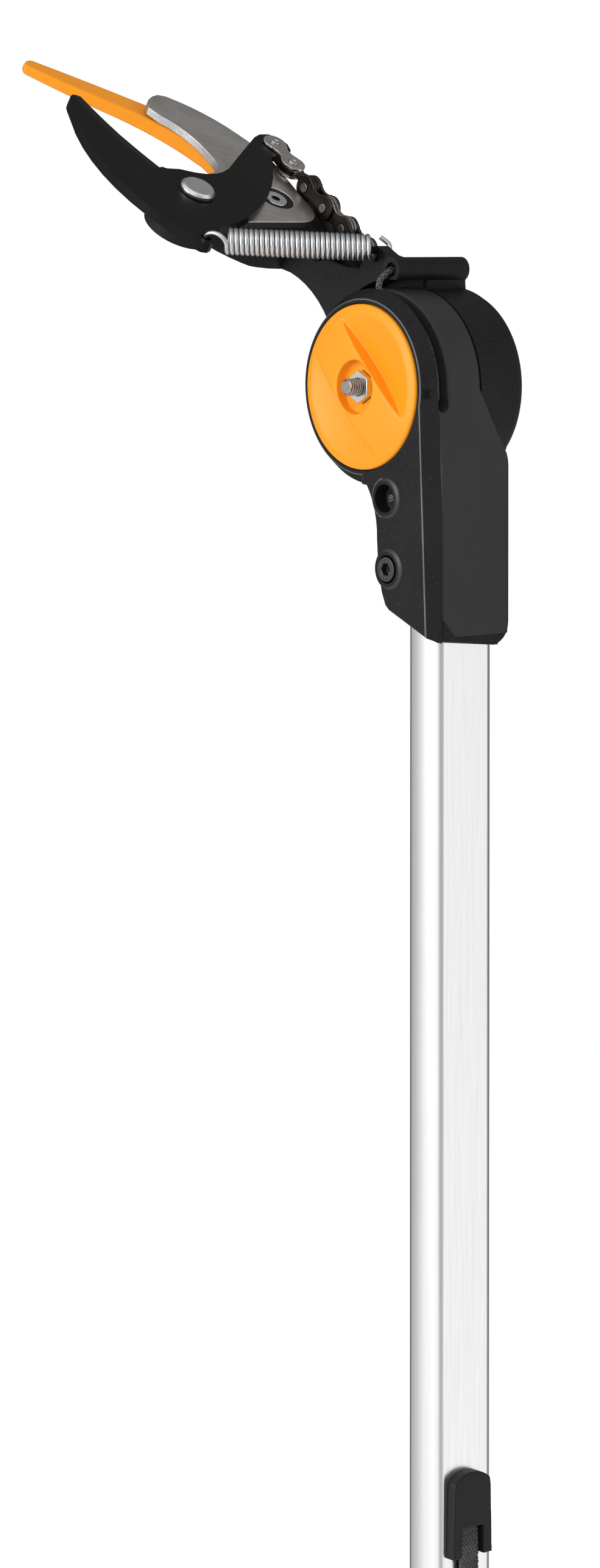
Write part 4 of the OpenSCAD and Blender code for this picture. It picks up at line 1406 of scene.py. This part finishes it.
# Floor: a pale disc that fades into the white round it
FLOOR_R = 2.2
FLOOR_FADE_FROM = 0.9
floor_bm = bmesh.new()
bmesh.ops.create_circle(floor_bm, cap_ends=True, cap_tris=False, segments=96, radius=FLOOR_R)
bmesh.ops.translate(floor_bm, vec=(0, 0, -0.0006), verts=floor_bm.verts)
floor_mesh = bpy.data.meshes.new("floor")
floor_bm.to_mesh(floor_mesh)
floor_bm.free()
floor = bpy.data.objects.new("floor", floor_mesh)
scene.collection.objects.link(floor)
floor_paint = bpy.data.materials.new("floor_paint")
floor_paint.use_nodes = True
floor_tree = floor_paint.node_tree
floor_shader = floor_tree.nodes["Principled BSDF"]
floor_shader.inputs["Base Color"].default_value = rgb(0.93, 0.93, 0.93)
floor_shader.inputs["Roughness"].default_value = 0.9
floor_place = add(floor_tree, "ShaderNodeTexCoord").outputs["Object"]
floor_reach = add(floor_tree, "ShaderNodeVectorMath", {0: floor_place}, operation="LENGTH").outputs["Value"]
floor_fade = spread(floor_tree, floor_reach, FLOOR_FADE_FROM, FLOOR_R - 0.1, 1.0, 0.0)
floor_tree.links.new(floor_fade, floor_shader.inputs["Alpha"])
floor_mesh.materials.append(floor_paint)
floor.visible_glossy = False

# World: white to the camera and in reflections, with dimmer sides that give the metal its shading.
# Each dim side has its direction, where it starts and is full, and its level
DIM_SIDES = (
    ((-0.94, 0.34, 0.0), 0.30, 0.90, 0.10),
    ((0.98, -0.20, 0.0), 0.80, 0.95, 0.42),
    ((0.10, 0.99, 0.0), 0.76, 0.94, 0.20),
    ((-0.20, 0.55, 0.81), 0.45, 0.85, 0.36),
)
world = bpy.data.worlds.new("studio")
scene.world = world
world.use_nodes = True
sky = world.node_tree
sky.nodes.clear()
rays = add(sky, "ShaderNodeLightPath")
mirrored = maths(sky, "MAXIMUM", rays.outputs["Is Glossy Ray"], rays.outputs["Is Transmission Ray"])
way = add(sky, "ShaderNodeTexCoord").outputs["Generated"]
mirror_level = 1.0
for side, starts, full, level in DIM_SIDES:
    facing = add(sky, "ShaderNodeVectorMath", {0: way, 1: side}, operation="DOT_PRODUCT")
    dimmed = spread(sky, facing.outputs["Value"], starts, full, 1.0, level)
    mirror_level = maths(sky, "MULTIPLY", mirror_level, dimmed)
SOFT_LEVEL = 0.42
soft = add(sky, "ShaderNodeBackground", {"Color": rgb(1, 1, 1), "Strength": SOFT_LEVEL})
mirror = add(sky, "ShaderNodeBackground", {"Color": rgb(1, 1, 1), "Strength": mirror_level})
white = add(sky, "ShaderNodeBackground", {"Color": rgb(1, 1, 1), "Strength": 1.0})
lit = add(sky, "ShaderNodeMixShader", {0: mirrored, 1: soft.outputs[0], 2: mirror.outputs[0]})
shown = add(
    sky, "ShaderNodeMixShader", {0: rays.outputs["Is Camera Ray"], 1: lit.outputs[0], 2: white.outputs[0]}
)
add(sky, "ShaderNodeOutputWorld", {"Surface": shown.outputs[0]})

# Lamps
LAMP_AIM = Vector((-0.04, 0, 1.35))


def lamp(name, place, size, power, stretch=1.0, mirrored=False):
    """A soft lamp aimed at the head; one that isn't mirrored leaves no bright patch on gloss."""
    data = bpy.data.lights.new(name, "AREA")
    data.shape = "RECTANGLE"
    data.size = size
    data.size_y = size * stretch
    data.energy = power
    light = bpy.data.objects.new(name, data)
    scene.collection.objects.link(light)
    light.location = place
    light.rotation_euler = (LAMP_AIM - Vector(place)).to_track_quat("-Z", "Y").to_euler()
    light.visible_glossy = mirrored
    return light


lamp("key", (-0.5, -2.4, 1.9), 1.3, 36, 1.4, True)
lamp("fill", (1.6, -1.5, 1.9), 1.2, 14, 1.2)
lamp("side", (2.2, 0.9, 1.7), 1.0, 14, 1.8)
lamp("top", (-0.6, 0.4, 3.3), 1.2, 4, 1.2)
lamp("back", (-1.6, 1.7, 2.2), 1.0, 14, 1.2)
